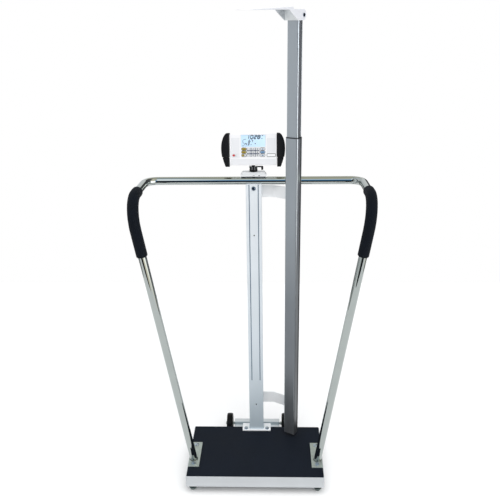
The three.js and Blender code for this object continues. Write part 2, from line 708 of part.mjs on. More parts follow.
function wheelGeometry() {
  const w = wheel.width / 2;
  const r = wheel.radius;
  const profile = [
    [wheel.bore, -w], [wheel.hub, -w], [wheel.hub, -w + 7], [r - 14, -w + 7], [r - 14, -w + 1],
    [r - 5, -w + 1], [r, -w + 7], [r, w - 7], [r - 5, w - 1], [r - 14, w - 1], [r - 14, w - 7],
    [wheel.hub, w - 7], [wheel.hub, w], [wheel.bore, w], [wheel.bore, -w],
  ];
  return turned(profile, 24).rotateY(Math.PI / 2);
}

function addWheels() {
  for (const [name, side] of [['left', -1], ['right', 1]]) {
    add(`${name}_wheel`, wheelGeometry(), black).position.set(side * wheel.x, wheel.y, wheel.z);
  }
  const shaft = discX(axle.radius, -axle.half, axle.half, wheel.y, wheel.z);
  const collars = [-1, 1].flatMap((side) => {
    const outer = side * (wheel.x + wheel.width / 2 + GAP);
    const inner = side * (wheel.x - wheel.width / 2 - GAP);
    return [[outer, outer + side * axle.headLength], [inner - side * 7, inner]].map((ends) => {
      const [a, b] = ends.sort((p, q) => p - q);
      return discX(axle.headRadius, a, b, wheel.y, wheel.z, 6);
    });
  });
  add('wheel_axle', join([shaft, ...collars]), zinc);
}

addPlatform();
addStiffener();
addSupports();
addFootPlates();
addColumn();
addSaddle();
addHandrail();
addGrips();
addRod();
addStraps();
addHeadpiece();
addStand();
addSwivelHead();
addShells();
addEndCaps();
addElectronics();
addKeys();
addCrossbar();
addWheels();

export default scale;
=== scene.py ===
import json
import math
import random

import bmesh
import bpy
from mathutils import Matrix, Vector


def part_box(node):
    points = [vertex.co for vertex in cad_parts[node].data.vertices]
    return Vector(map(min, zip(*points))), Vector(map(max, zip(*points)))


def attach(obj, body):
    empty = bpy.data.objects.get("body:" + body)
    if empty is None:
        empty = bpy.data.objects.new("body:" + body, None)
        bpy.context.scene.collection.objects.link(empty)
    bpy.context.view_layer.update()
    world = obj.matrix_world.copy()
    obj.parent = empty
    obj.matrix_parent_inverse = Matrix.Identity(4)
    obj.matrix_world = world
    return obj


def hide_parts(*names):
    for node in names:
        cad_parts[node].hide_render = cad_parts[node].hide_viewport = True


# Looks for the handrail weighing scale. Outlines are in millimetres in the platform's own frame: X across,
# Y from the tread's front edge to the column, Z up from the floor. A placing matrix turns them into metres.
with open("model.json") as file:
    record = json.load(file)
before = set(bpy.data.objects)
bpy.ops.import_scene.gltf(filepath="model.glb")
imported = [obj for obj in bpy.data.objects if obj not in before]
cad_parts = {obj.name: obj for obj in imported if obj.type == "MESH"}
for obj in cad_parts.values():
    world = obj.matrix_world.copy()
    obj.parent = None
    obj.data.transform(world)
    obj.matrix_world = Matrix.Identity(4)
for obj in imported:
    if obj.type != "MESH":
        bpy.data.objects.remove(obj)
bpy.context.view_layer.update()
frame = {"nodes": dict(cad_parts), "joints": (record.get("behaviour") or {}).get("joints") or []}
MM = 0.001
PI = math.pi
joint_at = {j["name"]: Vector(j["pos_m"]) for j in frame["joints"]}

PLATFORM = Matrix.Translation((0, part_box("tread_mat")[0].y, 0)) @ Matrix.Scale(MM, 4)
ROD_TURN = -30
rod_axis = joint_at["rod_slide"]
ROD = (
    Matrix.Translation((rod_axis.x, rod_axis.y, 0))
    @ Matrix.Rotation(math.radians(ROD_TURN), 4, "Z")
    @ Matrix.Scale(MM, 4)
)
TILT = -10
INDICATOR = (
    Matrix.Translation(joint_at["indicator_tilt"])
    @ Matrix.Rotation(math.radians(TILT), 4, "X")
    @ Matrix.Scale(MM, 4)
)
UPRIGHT = Matrix.Rotation(PI / 2, 4, "X")  # an outline drawn in XY stands up in XZ, facing the front
SIDEWAYS = Matrix.Rotation(PI / 2, 4, "Z") @ UPRIGHT  # an outline drawn in XY stands up in YZ, facing +X


def span(node):
    """The low and high corners of a CAD node, in millimetres in the platform's frame."""
    return tuple(PLATFORM.inverted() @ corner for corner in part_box(node))


# ---- camera and light -----------------------------------------------------------------------------------
CAMERA_AT = (0.08355, -2.4802, 2.0107)
YAW, PITCH, ROLL = (math.radians(a) for a in (-1.88, 21.27, -0.75))
LENS, SENSOR, SHIFT = 45.6, 36, (-0.0083, 0.0133)
SUN_STRENGTH, SUN_SPREAD, SUN_AIM = 2.2, 1.1, (-0.1, 0.4, -1)


def make_camera():
    forward = Vector((math.sin(YAW) * math.cos(PITCH), math.cos(YAW) * math.cos(PITCH), -math.sin(PITCH)))
    right = Vector((math.cos(YAW), -math.sin(YAW), 0))
    up = right.cross(forward)
    right, up = (
        math.cos(ROLL) * right + math.sin(ROLL) * up,
        math.cos(ROLL) * up - math.sin(ROLL) * right,
    )
    data = bpy.data.cameras.new("camera")
    data.lens = LENS
    data.sensor_width = SENSOR
    data.shift_x, data.shift_y = SHIFT
    camera = bpy.data.objects.new("camera", data)
    rotation = Matrix((right, up, -forward)).transposed().to_4x4()
    camera.matrix_world = Matrix.Translation(CAMERA_AT) @ rotation
    bpy.context.scene.collection.objects.link(camera)
    bpy.context.scene.camera = camera


def make_sun():
    """One broad overhead light, a little to the front. Polished faces don't show it."""
    data = bpy.data.lights.new("sky_light", "SUN")
    data.energy = SUN_STRENGTH
    data.angle = SUN_SPREAD
    light = bpy.data.objects.new("sky_light", data)
    light.matrix_world = Vector(SUN_AIM).to_track_quat("-Z", "Y").to_matrix().to_4x4()
    light.visible_glossy = False
    bpy.context.scene.collection.objects.link(light)


def shades(tree, value, stops, start=-1, end=1):
    """A colour ramp over start to end, with (value, colour) stops."""
    node = tree.nodes.new("ShaderNodeValToRGB")
    tree.links.new(spread(tree, value, 0, 1, start, end), node.inputs[0])
    elements = node.color_ramp.elements
    while len(elements) < len(stops):
        elements.new(0.5)
    for element, (at, colour) in zip(elements, stops):
        element.position = (at - start) / (end - start)
        element.color = (*colour[:3], 1)
    return node.outputs[0]


def calculate(tree, operation, first, second=None):
    node = tree.nodes.new("ShaderNodeMath")
    node.operation = operation
    tree.links.new(first, node.inputs[0])
    if second is not None:
        tree.links.new(second, node.inputs[1])
    return node.outputs[0]


def make_world():
    """White to the camera and soft to matt faces, brighter from below like a white sweep. Polished faces
    see a studio: a blue sky card in front that turns white to the left, over a dark strip of room, with
    an olive ceiling, a pale strip behind, a soft wall to the left and a bright card to the front right."""
    world = bpy.data.worlds.new("studio")
    bpy.context.scene.world = world
    world.use_nodes = True
    tree = world.node_tree
    background = tree.nodes["Background"]
    coords = tree.nodes.new("ShaderNodeTexCoord")
    split = tree.nodes.new("ShaderNodeSeparateXYZ")
    tree.links.new(coords.outputs["Generated"], split.inputs[0])
    x, y, z = split.outputs

    turn = calculate(tree, "ARCTAN2", x, spread(tree, y, 1, -1, -1, 1))
    azimuth = spread(tree, turn, -1, 1, -PI, PI)
    grey, dark, dim = (0.42, 0.44, 0.42), (0.01, 0.012, 0.02), (0.06, 0.06, 0.06)
    olive, wall, white, card, lamp = (
        (0.72, 0.69, 0.55), (0.86, 0.89, 0.92), (1.6, 1.65, 1.7), (1.2, 1.1, 0.88), (5.0, 5.1, 5.2),
    )
    in_front = shades(tree, z, [
        (-1, grey), (-0.58, grey), (-0.53, dark), (-0.02, dark), (0.06, (0.03, 0.09, 0.16)),
        (0.3, (0.11, 0.36, 0.7)), (0.55, (0.5, 0.7, 0.95)), (0.72, (1.5, 1.6, 1.7)), (0.8, olive),
        (1, olive),
    ])
    front_left = shades(tree, z, [
        (-1, grey), (-0.58, grey), (-0.53, dark), (0.2, dark), (0.3, (0.04, 0.12, 0.22)), (0.4, white),
        (0.88, white), (0.96, (0.2, 0.42, 0.7)), (1, (0.5, 0.56, 0.62)),
    ])
    in_front = mix(tree, spread(tree, x, 1, 0, -0.13, -0.06), in_front, front_left)
    behind = shades(tree, z, [
        (-1, grey), (-0.1, (0.1, 0.1, 0.1)), (0.08, (0.1, 0.1, 0.1)), (0.2, (1, 1.02, 1.04)),
        (0.5, (0.9, 0.9, 0.86)), (0.7, olive), (1, olive),
    ])
    low_left = [(-1, dim), (-0.66, (0.14, 0.14, 0.14)), (-0.5, (0.4, 0.42, 0.4)), (-0.33, wall)]
    high_left = [(-1, (0.8, 0.82, 0.84)), (-0.66, (0.9, 0.92, 0.94)), (-0.5, (1, 1.02, 1.04)), (-0.33, wall)]
    middle = [(-0.2, (0.5, 0.53, 0.5)), (-0.14, dark), (0.08, dark)]
    right = [(0.5, (0.25, 0.25, 0.25)), (0.68, (0.13, 0.13, 0.14)), (1, dim)]
    low_walls, high_walls, top_walls = (
        shades(tree, azimuth, [*left, *middle, (start, bright), (0.42, bright), *right])
        for left, start, bright in (
            (low_left, 0.14, card), (high_left, 0.12, lamp), (high_left, 0.12, card),
        )
    )
    walls = mix(tree, spread(tree, z, 0, 1, -0.34, -0.08), low_walls, high_walls)
    walls = mix(tree, spread(tree, z, 0, 1, 0.1, 0.3), walls, top_walls)
    aside = calculate(tree, "ABSOLUTE", x)
    beside = spread(tree, aside, 0, 1, 0.2, 0.3)
    beyond = spread(tree, aside, 0, 1, 0.17, 0.23)
    back = spread(tree, y, 0, 1, -0.15, 0.2)
    front_half = mix(tree, beside, in_front, walls)
    polished = mix(tree, back, front_half, mix(tree, beyond, behind, walls))
    path = tree.nodes.new("ShaderNodeLightPath")
    soft = shades(tree, z, [(-0.05, (1, 1, 1)), (0.1, (0.5, 0.51, 0.52))])
    even = mix(tree, path.outputs["Is Glossy Ray"], soft, polished)
    seen = mix(tree, path.outputs["Is Camera Ray"], even, [1, 1, 1, 1])
    tree.links.new(seen, background.inputs["Color"])


def make_floor():
    mesh = bpy.data.meshes.new("floor")
    bm = bmesh.new()
    reach = 2.1
    corners = [(-reach, -reach), (reach, -reach), (reach, reach), (-reach, reach)]
    bm.faces.new([bm.verts.new((x, y, 0)) for x, y in corners])
    bm.to_mesh(mesh)
    bm.free()
    floor = bpy.data.objects.new("floor", mesh)
    look, _, shader = shader_of("floor_paper")
    shader.inputs["Base Color"].default_value = (0.91, 0.91, 0.91, 1)
    shader.inputs["Roughness"].default_value = 0.9
    shader.inputs["Emission Color"].default_value = (1, 1, 1, 1)
    shader.inputs["Emission Strength"].default_value = 0.06
    mesh.materials.append(look)
    bpy.context.scene.collection.objects.link(floor)


# ---- materials ------------------------------------------------------------------------------------------
def linear(colour):
    """An sRGB colour of 0 to 255 as the linear values that a shader takes."""
    scaled = [c / 255 for c in colour]
    return [c / 12.92 if c <= 0.04045 else ((c + 0.055) / 1.055) ** 2.4 for c in scaled] + [1]


def shader_of(name):
    look = bpy.data.materials.new(name)
    look.use_nodes = True
    return look, look.node_tree, look.node_tree.nodes["Principled BSDF"]


def noise(tree, scale, detail=2.0, stretch=(1, 1, 1), roughness=0.5):
    """Noise fixed to the object, about scale bumps a metre, drawn out along the axes with a low stretch."""
    coords = tree.nodes.new("ShaderNodeTexCoord")
    mapping = tree.nodes.new("ShaderNodeMapping")
    mapping.inputs["Scale"].default_value = stretch
    texture = tree.nodes.new("ShaderNodeTexNoise")
    texture.inputs["Scale"].default_value = scale
    texture.inputs["Detail"].default_value = detail
    texture.inputs["Roughness"].default_value = roughness
    tree.links.new(coords.outputs["Object"], mapping.inputs["Vector"])
    tree.links.new(mapping.outputs[0], texture.inputs["Vector"])
    return texture.outputs["Fac"]


def spread(tree, value, low, high, start=0.3, end=0.7):
    """Maps a value from start to end onto low to high."""
    remap = tree.nodes.new("ShaderNodeMapRange")
    remap.inputs["From Min"].default_value = start
    remap.inputs["From Max"].default_value = end
    remap.inputs["To Min"].default_value = low
    remap.inputs["To Max"].default_value = high
    tree.links.new(value, remap.inputs["Value"])
    return remap.outputs[0]


def mix(tree, factor, first, second):
    blend = tree.nodes.new("ShaderNodeMix")
    blend.data_type = "RGBA"
    tree.links.new(factor, blend.inputs["Factor"])
    for socket, colour in ((blend.inputs["A"], first), (blend.inputs["B"], second)):
        if isinstance(colour, list):
            socket.default_value = colour
        else:
            tree.links.new(colour, socket)
    return blend.outputs["Result"]


def bump(tree, height, strength, distance, below=None):
    node = tree.nodes.new("ShaderNodeBump")
    node.inputs["Strength"].default_value = strength
    node.inputs["Distance"].default_value = distance
    tree.links.new(height, node.inputs["Height"])
    if below is not None:
        tree.links.new(below, node.inputs["Normal"])
    return node.outputs[0]


def surface(
    name, colour, rough, metal=0.0, vary=0.06, grain=900, grain_depth=0.00002, stretch=(1, 1, 1),
    smudge=6, rough_vary=0.06, specular=0.5, coat=0.0, painted_shade=None, edge_highlight=None, glow=0.0,
):
    """A finish: a colour that varies a little, a grain in the surface, and a roughness that smudges.

    painted_shade is a list of (height in metres, colour), a ramp over height that multiplies the colour as
    painted shade; edge_highlight is the colour of a painted highlight on sharp edges; glow is a backlight."""
    look, tree, shader = shader_of(name)
    base = linear(colour)
    dark = [c * (1 - vary) for c in base[:3]] + [1]
    light = [min(1, c * (1 + vary)) for c in base[:3]] + [1]
    fine = noise(tree, grain, 3, stretch)
    broad = noise(tree, smudge, 4)
    tone = mix(tree, spread(tree, broad, 0, 1), dark, light)
    tone = mix(tree, spread(tree, fine, 0, vary), tone, dark)
    # Painted shade: the tone is multiplied by a colour ramp over the object's height.
    if painted_shade:
        coords = tree.nodes.new("ShaderNodeTexCoord")
        split = tree.nodes.new("ShaderNodeSeparateXYZ")
        tree.links.new(coords.outputs["Object"], split.inputs[0])
        stops = [(height, linear(shade)) for height, shade in painted_shade]
        height_shade_ramp = shades(tree, split.outputs["Z"], stops, 0, 2)
        shade_multiply = tree.nodes.new("ShaderNodeMix")
        shade_multiply.data_type = "RGBA"
        shade_multiply.blend_type = "MULTIPLY"
        shade_multiply.inputs["Factor"].default_value = 1
        tree.links.new(tone, shade_multiply.inputs["A"])
        tree.links.new(height_shade_ramp, shade_multiply.inputs["B"])
        tone = shade_multiply.outputs["Result"]
    # Painted highlight: faces of high pointiness, the sharp edges, are mixed towards a lighter colour.
    if edge_highlight:
        geometry = tree.nodes.new("ShaderNodeNewGeometry")
        edge = spread(tree, geometry.outputs["Pointiness"], 0, 0.6, 0.53, 0.62)
        tone = mix(tree, edge, tone, linear(edge_highlight))
    tree.links.new(tone, shader.inputs["Base Color"])
    gloss = spread(tree, broad, rough - rough_vary, rough + rough_vary)
    tree.links.new(gloss, shader.inputs["Roughness"])
    tree.links.new(bump(tree, fine, 0.5, grain_depth), shader.inputs["Normal"])
    shader.inputs["Metallic"].default_value = metal
    shader.inputs["Specular IOR Level"].default_value = specular
    if coat:
        shader.inputs["Coat Weight"].default_value = coat
        shader.inputs["Coat Roughness"].default_value = 0.12
    if glow:
        shader.inputs["Emission Color"].default_value = base
        shader.inputs["Emission Strength"].default_value = glow
    return look


def cells(tree, scale):
    """The distance to the nearest of many cells, about scale of them a metre, fixed to the object."""
    texture = tree.nodes.new("ShaderNodeTexVoronoi")
    coords = tree.nodes.new("ShaderNodeTexCoord")
    texture.inputs["Scale"].default_value = scale
    tree.links.new(coords.outputs["Object"], texture.inputs["Vector"])
    return texture.outputs["Distance"]


def foam_look():
    """Closed-cell foam: small round cells over a soft unevenness."""
    look, tree, shader = shader_of("grip_foam")
    pores = cells(tree, 900)
    broad = noise(tree, 25, 4)
    tone = mix(tree, spread(tree, broad, 0, 1), linear((9, 14, 21)), linear((15, 20, 28)))
    tree.links.new(tone, shader.inputs["Base Color"])
    tree.links.new(spread(tree, broad, 0.72, 0.9), shader.inputs["Roughness"])
    soft = bump(tree, broad, 0.4, 0.0008)
    tree.links.new(bump(tree, pores, 0.6, 0.0003, soft), shader.inputs["Normal"])
    shader.inputs["Sheen Weight"].default_value = 0.02
    shader.inputs["Sheen Roughness"].default_value = 0.5
    shader.inputs["Specular IOR Level"].default_value = 0.12
    return look


def tread_look():
    """Rubber matting with a pebbled face that holds a little dust."""
    look, tree, shader = shader_of("tread_rubber")
    pebbles = cells(tree, 420)
    broad = noise(tree, 7, 5)
    dust = noise(tree, 260, 3)
    tone = mix(tree, spread(tree, broad, 0, 1), linear((19, 24, 32)), linear((24, 29, 38)))
    tone = mix(tree, spread(tree, dust, 0, 0.25, 0.5, 0.8), tone, linear((40, 46, 54)))
    tree.links.new(tone, shader.inputs["Base Color"])
    tree.links.new(spread(tree, broad, 0.62, 0.8), shader.inputs["Roughness"])
    tree.links.new(bump(tree, pebbles, 0.6, 0.0005), shader.inputs["Normal"])
    shader.inputs["Specular IOR Level"].default_value = 0.1
    return look


def anodised(name, colour, rough, painted_shade=None):
    """Aluminium brushed along its length."""
    return surface(
        name, colour, rough, 0.85, vary=0.04, grain=1400, grain_depth=0.00001, stretch=(1, 1, 0.012),
        smudge=5, painted_shade=painted_shade,
    )


def make_looks():
    """Every finish, by a short name."""
    return {
        # Painted highlight on the deck's sharp edges, for the bright line along the skirt's top.
        "deck": surface("deck_enamel", (189, 193, 196), 0.42, vary=0.03, grain=700, edge_highlight=(225, 228, 230)),
        # Painted shade: the column's colour darkens and turns bluer towards its foot, where less light
        # reaches it.
        "column": surface(
            "column_powder_coat_painted_shade", (240, 242, 244), 0.36, vary=0.02, grain=1200,
            painted_shade=[(0.1, (200, 212, 219)), (0.6, (226, 233, 238)), (1.25, (243, 247, 250))],
        ),
        # Painted shade: the groove floors are dark blue-grey, for the shade in the recesses.
        "groove": surface("column_groove_painted_shade", (84, 104, 124), 0.5, vary=0.05),
        "white": surface("white_powder_coat", (236, 238, 240), 0.42, vary=0.02, grain=1100),
        "chrome": surface(
            "rail_chrome", (170, 176, 174), 0.045, 1.0, vary=0.02, grain=2500, grain_depth=0.000001,
            smudge=14, rough_vary=0.025,
        ),
        "zinc": surface(
            "zinc_plate", (172, 182, 178), 0.42, 0.6, vary=0.14, grain=500, smudge=40, rough_vary=0.1,
        ),
        # Painted shade: the rod's colour is multiplied darker between about 0.4 and 0.8 m of height than at
        # its ends.
        "rod": anodised("rod_anodised", (166, 172, 178), 0.34, [
            (0.12, (255, 250, 245)), (0.25, (240, 238, 236)), (0.4, (196, 196, 196)), (0.6, (184, 184, 185)),
            (0.8, (192, 193, 194)), (1.25, (255, 255, 255)),
        ]),
        # Painted shade: a darker copy of the rod's finish for its right-hand face and corner, turned from
        # the light.
        "rod_shaded_face": anodised("rod_anodised_shaded_side", (166, 172, 178), 0.34, [
            (0.12, (170, 166, 164)), (0.25, (148, 147, 146)), (0.6, (134, 134, 134)), (0.8, (160, 160, 160)),
            (1.25, (255, 255, 255)),
        ]),
        # Painted shade: the slot's floor is dark grey, for the dark strip at the rear of the rod's side
        # face.
        "slot": surface("rod_slot_painted_shade", (48, 48, 50), 0.5, vary=0.1, grain=900),
        "galvanised": surface("crossbar_zinc", (172, 184, 190), 0.45, 0.2, vary=0.1, grain=500, smudge=30),
        "rib": surface("swivel_rib", (96, 98, 102), 0.4, vary=0.1),
        "mast": anodised("mast_anodised", (170, 176, 182), 0.32),
        "plastic": surface(
            "white_plastic", (246, 246, 248), 0.5, vary=0.015, grain=1500, grain_depth=0.00004,
        ),
        "head": surface("headpiece_plastic", (252, 252, 255), 0.4, vary=0.01, grain=1500),
        # Painted shade: a greyer copy of the headpiece's white for the web's front, under the blade.
        "head_web_shaded": surface("headpiece_web_painted_shade", (232, 236, 237), 0.45, vary=0.02, grain=1500),
        # Painted shade: a darker grey of the headpiece's white for the gusset's inner face and the blade's
        # underside.
        "head_shade": surface("headpiece_recess_painted_shade", (186, 191, 195), 0.5, vary=0.04, grain=1500),
        # Painted shade: a slightly darker, bluer copy of the headpiece's white for the cheeks' outer faces.
        "head_cheek_shaded": surface("headpiece_cheek_painted_shade", (241, 243, 249), 0.4, vary=0.01, grain=1500),
        # Painted light: a lighter copy of the crossbar's zinc for its upward faces.
        "flange": surface("crossbar_painted_lit_top", (205, 210, 213), 0.45, 0.1, vary=0.06, grain=500, smudge=30),
        "foot_zinc": surface("foot_zinc", (96, 108, 106), 0.4, 0.6, vary=0.12, grain=500, smudge=30),
        # Painted light: a brighter copy of the white powder coat for the straps.
        "strap": surface("strap_white_painted_light", (250, 251, 252), 0.42, vary=0.015, grain=1100),
        "panel": surface("overlay_grey", (234, 235, 238), 0.45, vary=0.02, grain=1800),
        "key_ground": surface("overlay_keys", (88, 96, 116), 0.45, vary=0.04, grain=1800),
        "black": surface(
            "black_plastic", (19, 19, 21), 0.42, vary=0.1, grain=1300, grain_depth=0.00005, specular=0.22,
        ),
        "gloss_black": surface("black_gloss", (22, 23, 25), 0.28, vary=0.1, grain=900),
        "rubber": surface("wheel_rubber", (7, 8, 11), 0.3, vary=0.15, grain=400, specular=0.12),
        "display": surface("display_blue", (200, 228, 249), 0.3, vary=0.02, grain=300, coat=0.2, glow=0.14),
        "ink": surface("display_ink", (2, 8, 44), 0.5, vary=0.08, grain=600),
        "legend": surface("legend_grey", (30, 32, 38), 0.5, vary=0.08, grain=600),
        "board": surface("board_green", (46, 107, 69), 0.45, vary=0.12, grain=300),
        "yellow": surface("key_yellow", (160, 138, 0), 0.42, vary=0.05, grain=1600),
        "blue": surface("key_blue", (112, 152, 192), 0.42, vary=0.05, grain=1600),
        "red": surface("key_red", (214, 30, 28), 0.42, vary=0.05, grain=1600),
        "key_white": surface("key_white", (222, 224, 227), 0.42, vary=0.02, grain=1600),
        "weld": surface("weld_bead", (120, 124, 122), 0.42, 1.0, vary=0.2, grain=350, grain_depth=0.0002),
        "steel": surface("screw_steel", (176, 188, 200), 0.28, 1.0, vary=0.1, grain=600),
        "screw": surface("dark_screw", (84, 98, 116), 0.2, 1.0, vary=0.1, grain=600),
        "foam": foam_look(),
        "tread": tread_look(),
    }


# ---- outlines -------------------------------------------------------------------------------------------
def rounded_rect(width, height, radius, steps=6, middle=(0, 0)):
    points = []
    for quarter, (sx, sy) in enumerate(((1, -1), (1, 1), (-1, 1), (-1, -1))):
        for k in range(steps + 1):
            angle = (quarter - 1 + k / steps) * PI / 2
            x = sx * (width / 2 - radius) + radius * math.cos(angle)
            y = sy * (height / 2 - radius) + radius * math.sin(angle)
            points.append((x + middle[0], y + middle[1]))
    return points


def arc(before, corner, after, radius, steps):
    """The points of the arc that rounds a corner between two straight runs."""
    to_before = (before - corner).normalized()
    to_after = (after - corner).normalized()
    half = to_before.angle(to_after) / 2
    centre = corner + (to_before + to_after).normalized() * radius / math.sin(half)
    start = corner + to_before * radius / math.tan(half) - centre
    end = corner + to_after * radius / math.tan(half) - centre
    turn = start.angle(end)
    points = []
    for k in range(steps + 1):
        share = k / steps
        spoke = start * math.sin((1 - share) * turn) + end * math.sin(share * turn)
        points.append(centre + spoke / math.sin(turn))
    return points


def round_corners(corners, steps=4):
    """A polygon whose corners are (x, y, radius): each becomes an arc, or stays sharp with radius 0."""
    points = []
    for i, (x, y, radius) in enumerate(corners):
        if radius > 0:
            before, after = Vector(corners[i - 1][:2]), Vector(corners[(i + 1) % len(corners)][:2])
            points += [tuple(p) for p in arc(before, Vector((x, y)), after, radius, steps)]
        else:
            points.append((x, y))
    return points


def plan_of(low, high, radius, steps):
    """The rounded rectangle that fills a box, seen from above."""
    middle = ((low.x + high.x) / 2, (low.y + high.y) / 2)
    return rounded_rect(high.x - low.x, high.y - low.y, radius, steps, middle)


def quarter_turn(steps):
    """The angles of a quarter turn."""
    return [k / steps * PI / 2 for k in range(steps + 1)]


def offset(points, inset):
    """The outline moved inwards all round; the points run counter-clockwise."""
    moved = []
    count = len(points)
    for i, point in enumerate(points):
        here = Vector(point)
        first = (here - Vector(points[i - 1])).normalized()
        second = (Vector(points[(i + 1) % count]) - here).normalized()
        inward = Vector((-first.y - second.y, first.x + second.x))
        moved.append(tuple(here + inward * inset / (1 + first.dot(second))))
    return moved


def circle(radius, sides=32, middle=(0, 0)):
    turns = [2 * PI * k / sides for k in range(sides)]
    return [(middle[0] + radius * math.cos(a), middle[1] + radius * math.sin(a)) for a in turns]


# ---- mesh tools -----------------------------------------------------------------------------------------
def skin(bm, rings, closed=False, index=0):
    """Faces through rings that have the same number of points, and back to the first if closed."""
    rows = [[bm.verts.new(point) for point in ring] for ring in rings]
    faces = []
    for low, high in zip(rows, rows[1:] + (rows[:1] if closed else [])):
        for i in range(len(low)):
            j = (i + 1) % len(low)
            faces.append(bm.faces.new((low[i], low[j], high[j], high[i])))
    if not closed:
        faces.append(bm.faces.new(rows[0][::-1]))
        faces.append(bm.faces.new(rows[-1]))
    for face in faces:
        face.material_index = index
    return faces


def rings_at(outline, stack):
    """The outline drawn in by each inset, at each height."""
    return [[(x, y, z) for x, y in offset(outline, inset)] for inset, z in stack]


def slab(bm, points, low, high, edge=0.5, top_edge=None, place=None, steps=3, index=0):
    """An outline raised from low to high, with rounded edges at both ends."""
    place = place or Matrix()
    top_edge = edge if top_edge is None else top_edge
    stack = []
    for angle in quarter_turn(steps):
        stack.append((edge * (1 - math.sin(angle)), low + edge * (1 - math.cos(angle))))
    for angle in quarter_turn(steps):
        stack.append((top_edge * (1 - math.cos(angle)), high - top_edge * (1 - math.sin(angle))))
    rings = [[place @ Vector(point) for point in ring] for ring in rings_at(points, stack)]
    return skin(bm, rings, index=index)


def block(outline, low, high, edge, **more):
    """A slab as a mesh of its own."""
    bm = bmesh.new()
    slab(bm, outline, low, high, edge, **more)
    return bm


def lathe(bm, profile, place=None, steps=40, index=0):
    """Turns (radius, height) points about Z. A profile starts and ends on the axis, or closes on itself."""
    place = place or Matrix()
    rows = []
    for radius, height in profile:
        if radius < 1e-6:
            rows.append([bm.verts.new(place @ Vector((0, 0, height)))])
        else:
            rows.append([bm.verts.new(place @ Vector((x, y, height))) for x, y in circle(radius, steps)])
    if profile[0] == profile[-1]:
        bmesh.ops.delete(bm, geom=rows[-1], context="VERTS")
        rows[-1] = rows[0]
    for low, high in zip(rows, rows[1:]):
        for i in range(steps):
            j = (i + 1) % steps
            quad = [low[i % len(low)], low[j % len(low)], high[j % len(high)], high[i % len(high)]]
            corners = list(dict.fromkeys(quad))
            if len(corners) > 2:
                bm.faces.new(corners).material_index = index


def drill(radius, start, end, place, sides=32):
    """A plain round mesh to cut a hole with, along Z of the place given."""
    bm = bmesh.new()
    lathe(bm, [(0, start), (radius, start), (radius, end), (0, end)], place, sides)
    return bm


def frames_along(path, first_side):
    """A (point, side, up) for each point of a path, turning as little as it can."""
    result = []
    side = first_side
    for i, point in enumerate(path):
        before = path[max(0, i - 1)]
        after = path[min(len(path) - 1, i + 1)]
        tangent = (after - before).normalized()
        side = (side - tangent * side.dot(tangent)).normalized()
        result.append((point, side, tangent.cross(side)))
    return result


def sweep(path, radii, sides=40, first_side=Vector((0, 1, 0))):
    """Rings of points round a path, with a radius for each of its points."""
    rings = []
    for (point, side, up), radius in zip(frames_along(path, first_side), radii):
        rings.append([point + side * x + up * y for x, y in circle(radius, sides)])
    return rings


def make(name, bm, body, looks_used, place=PLATFORM, stands_for=(), sharp=32, weighted=True):
    """Turns a mesh in millimetres into a finished piece that rides on its body."""
    bmesh.ops.transform(bm, matrix=place, verts=bm.verts)
    bmesh.ops.recalc_face_normals(bm, faces=bm.faces)
    mesh = bpy.data.meshes.new(name)
    bm.to_mesh(mesh)
    bm.free()
    for look in looks_used:
        mesh.materials.append(looks[look])
    piece = bpy.data.objects.new(name, mesh)
    bpy.context.scene.collection.objects.link(piece)
    smooth(piece, sharp, weighted)
    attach(piece, body)
    if stands_for:
        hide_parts(*stands_for)
    return piece


def smooth(piece, sharp=32, weighted=True):
    piece.data.polygons.foreach_set("use_smooth", [True] * len(piece.data.polygons))
    piece.data.set_sharp_from_angle(angle=math.radians(sharp))
    if weighted:
        normals = piece.modifiers.new("flat_faces_stay_flat", "WEIGHTED_NORMAL")
        normals.keep_sharp = True


def carve(piece, cutters, place, operation="DIFFERENCE"):
    """Cuts meshes drawn in millimetres out of a piece, or joins them to it, and leaves a plain mesh."""
    for bm in cutters:
        bmesh.ops.transform(bm, matrix=place, verts=bm.verts)
        bmesh.ops.recalc_face_normals(bm, faces=bm.faces)
        mesh = bpy.data.meshes.new("cutter")
        bm.to_mesh(mesh)
        bm.free()
        tool = bpy.data.objects.new("cutter", mesh)
        bpy.context.scene.collection.objects.link(tool)
        tool.matrix_world = piece.matrix_world
        others = list(piece.modifiers)
        step = piece.modifiers.new("carve", "BOOLEAN")
        step.operation = operation
        step.solver = "EXACT"
        step.object = tool
        for other in others:
            other.show_viewport = False
        graph = bpy.context.evaluated_depsgraph_get()
        graph.update()
        piece.data = bpy.data.meshes.new_from_object(piece.evaluated_get(graph))
        for other in others:
            other.show_viewport = True
        piece.modifiers.remove(step)
        bpy.data.objects.remove(tool)
        bpy.data.meshes.remove(mesh)
    smooth(piece, weighted=False)


def refine(node, look, width=0.0004):
    """Gives a CAD node its finish, and rounds its sharp edges."""
    piece = frame["nodes"][node]
    piece.data.materials.clear()
    piece.data.materials.append(looks[look])
    weld = piece.modifiers.new("weld", "WELD")
    weld.merge_threshold = 0.00001
    merge = piece.modifiers.new("merge_flats", "DECIMATE")
    merge.decimate_type = "DISSOLVE"
    merge.angle_limit = math.radians(1)
    step = piece.modifiers.new("rounded_edges", "BEVEL")
    step.width = width
    step.segments = 2
    step.limit_method = "ANGLE"
    step.angle_limit = math.radians(40)
    smooth(piece)


looks = make_looks()


# ---- platform -------------------------------------------------------------------------------------------
DECK_SHEET = 3
DECK_CORNER = 6


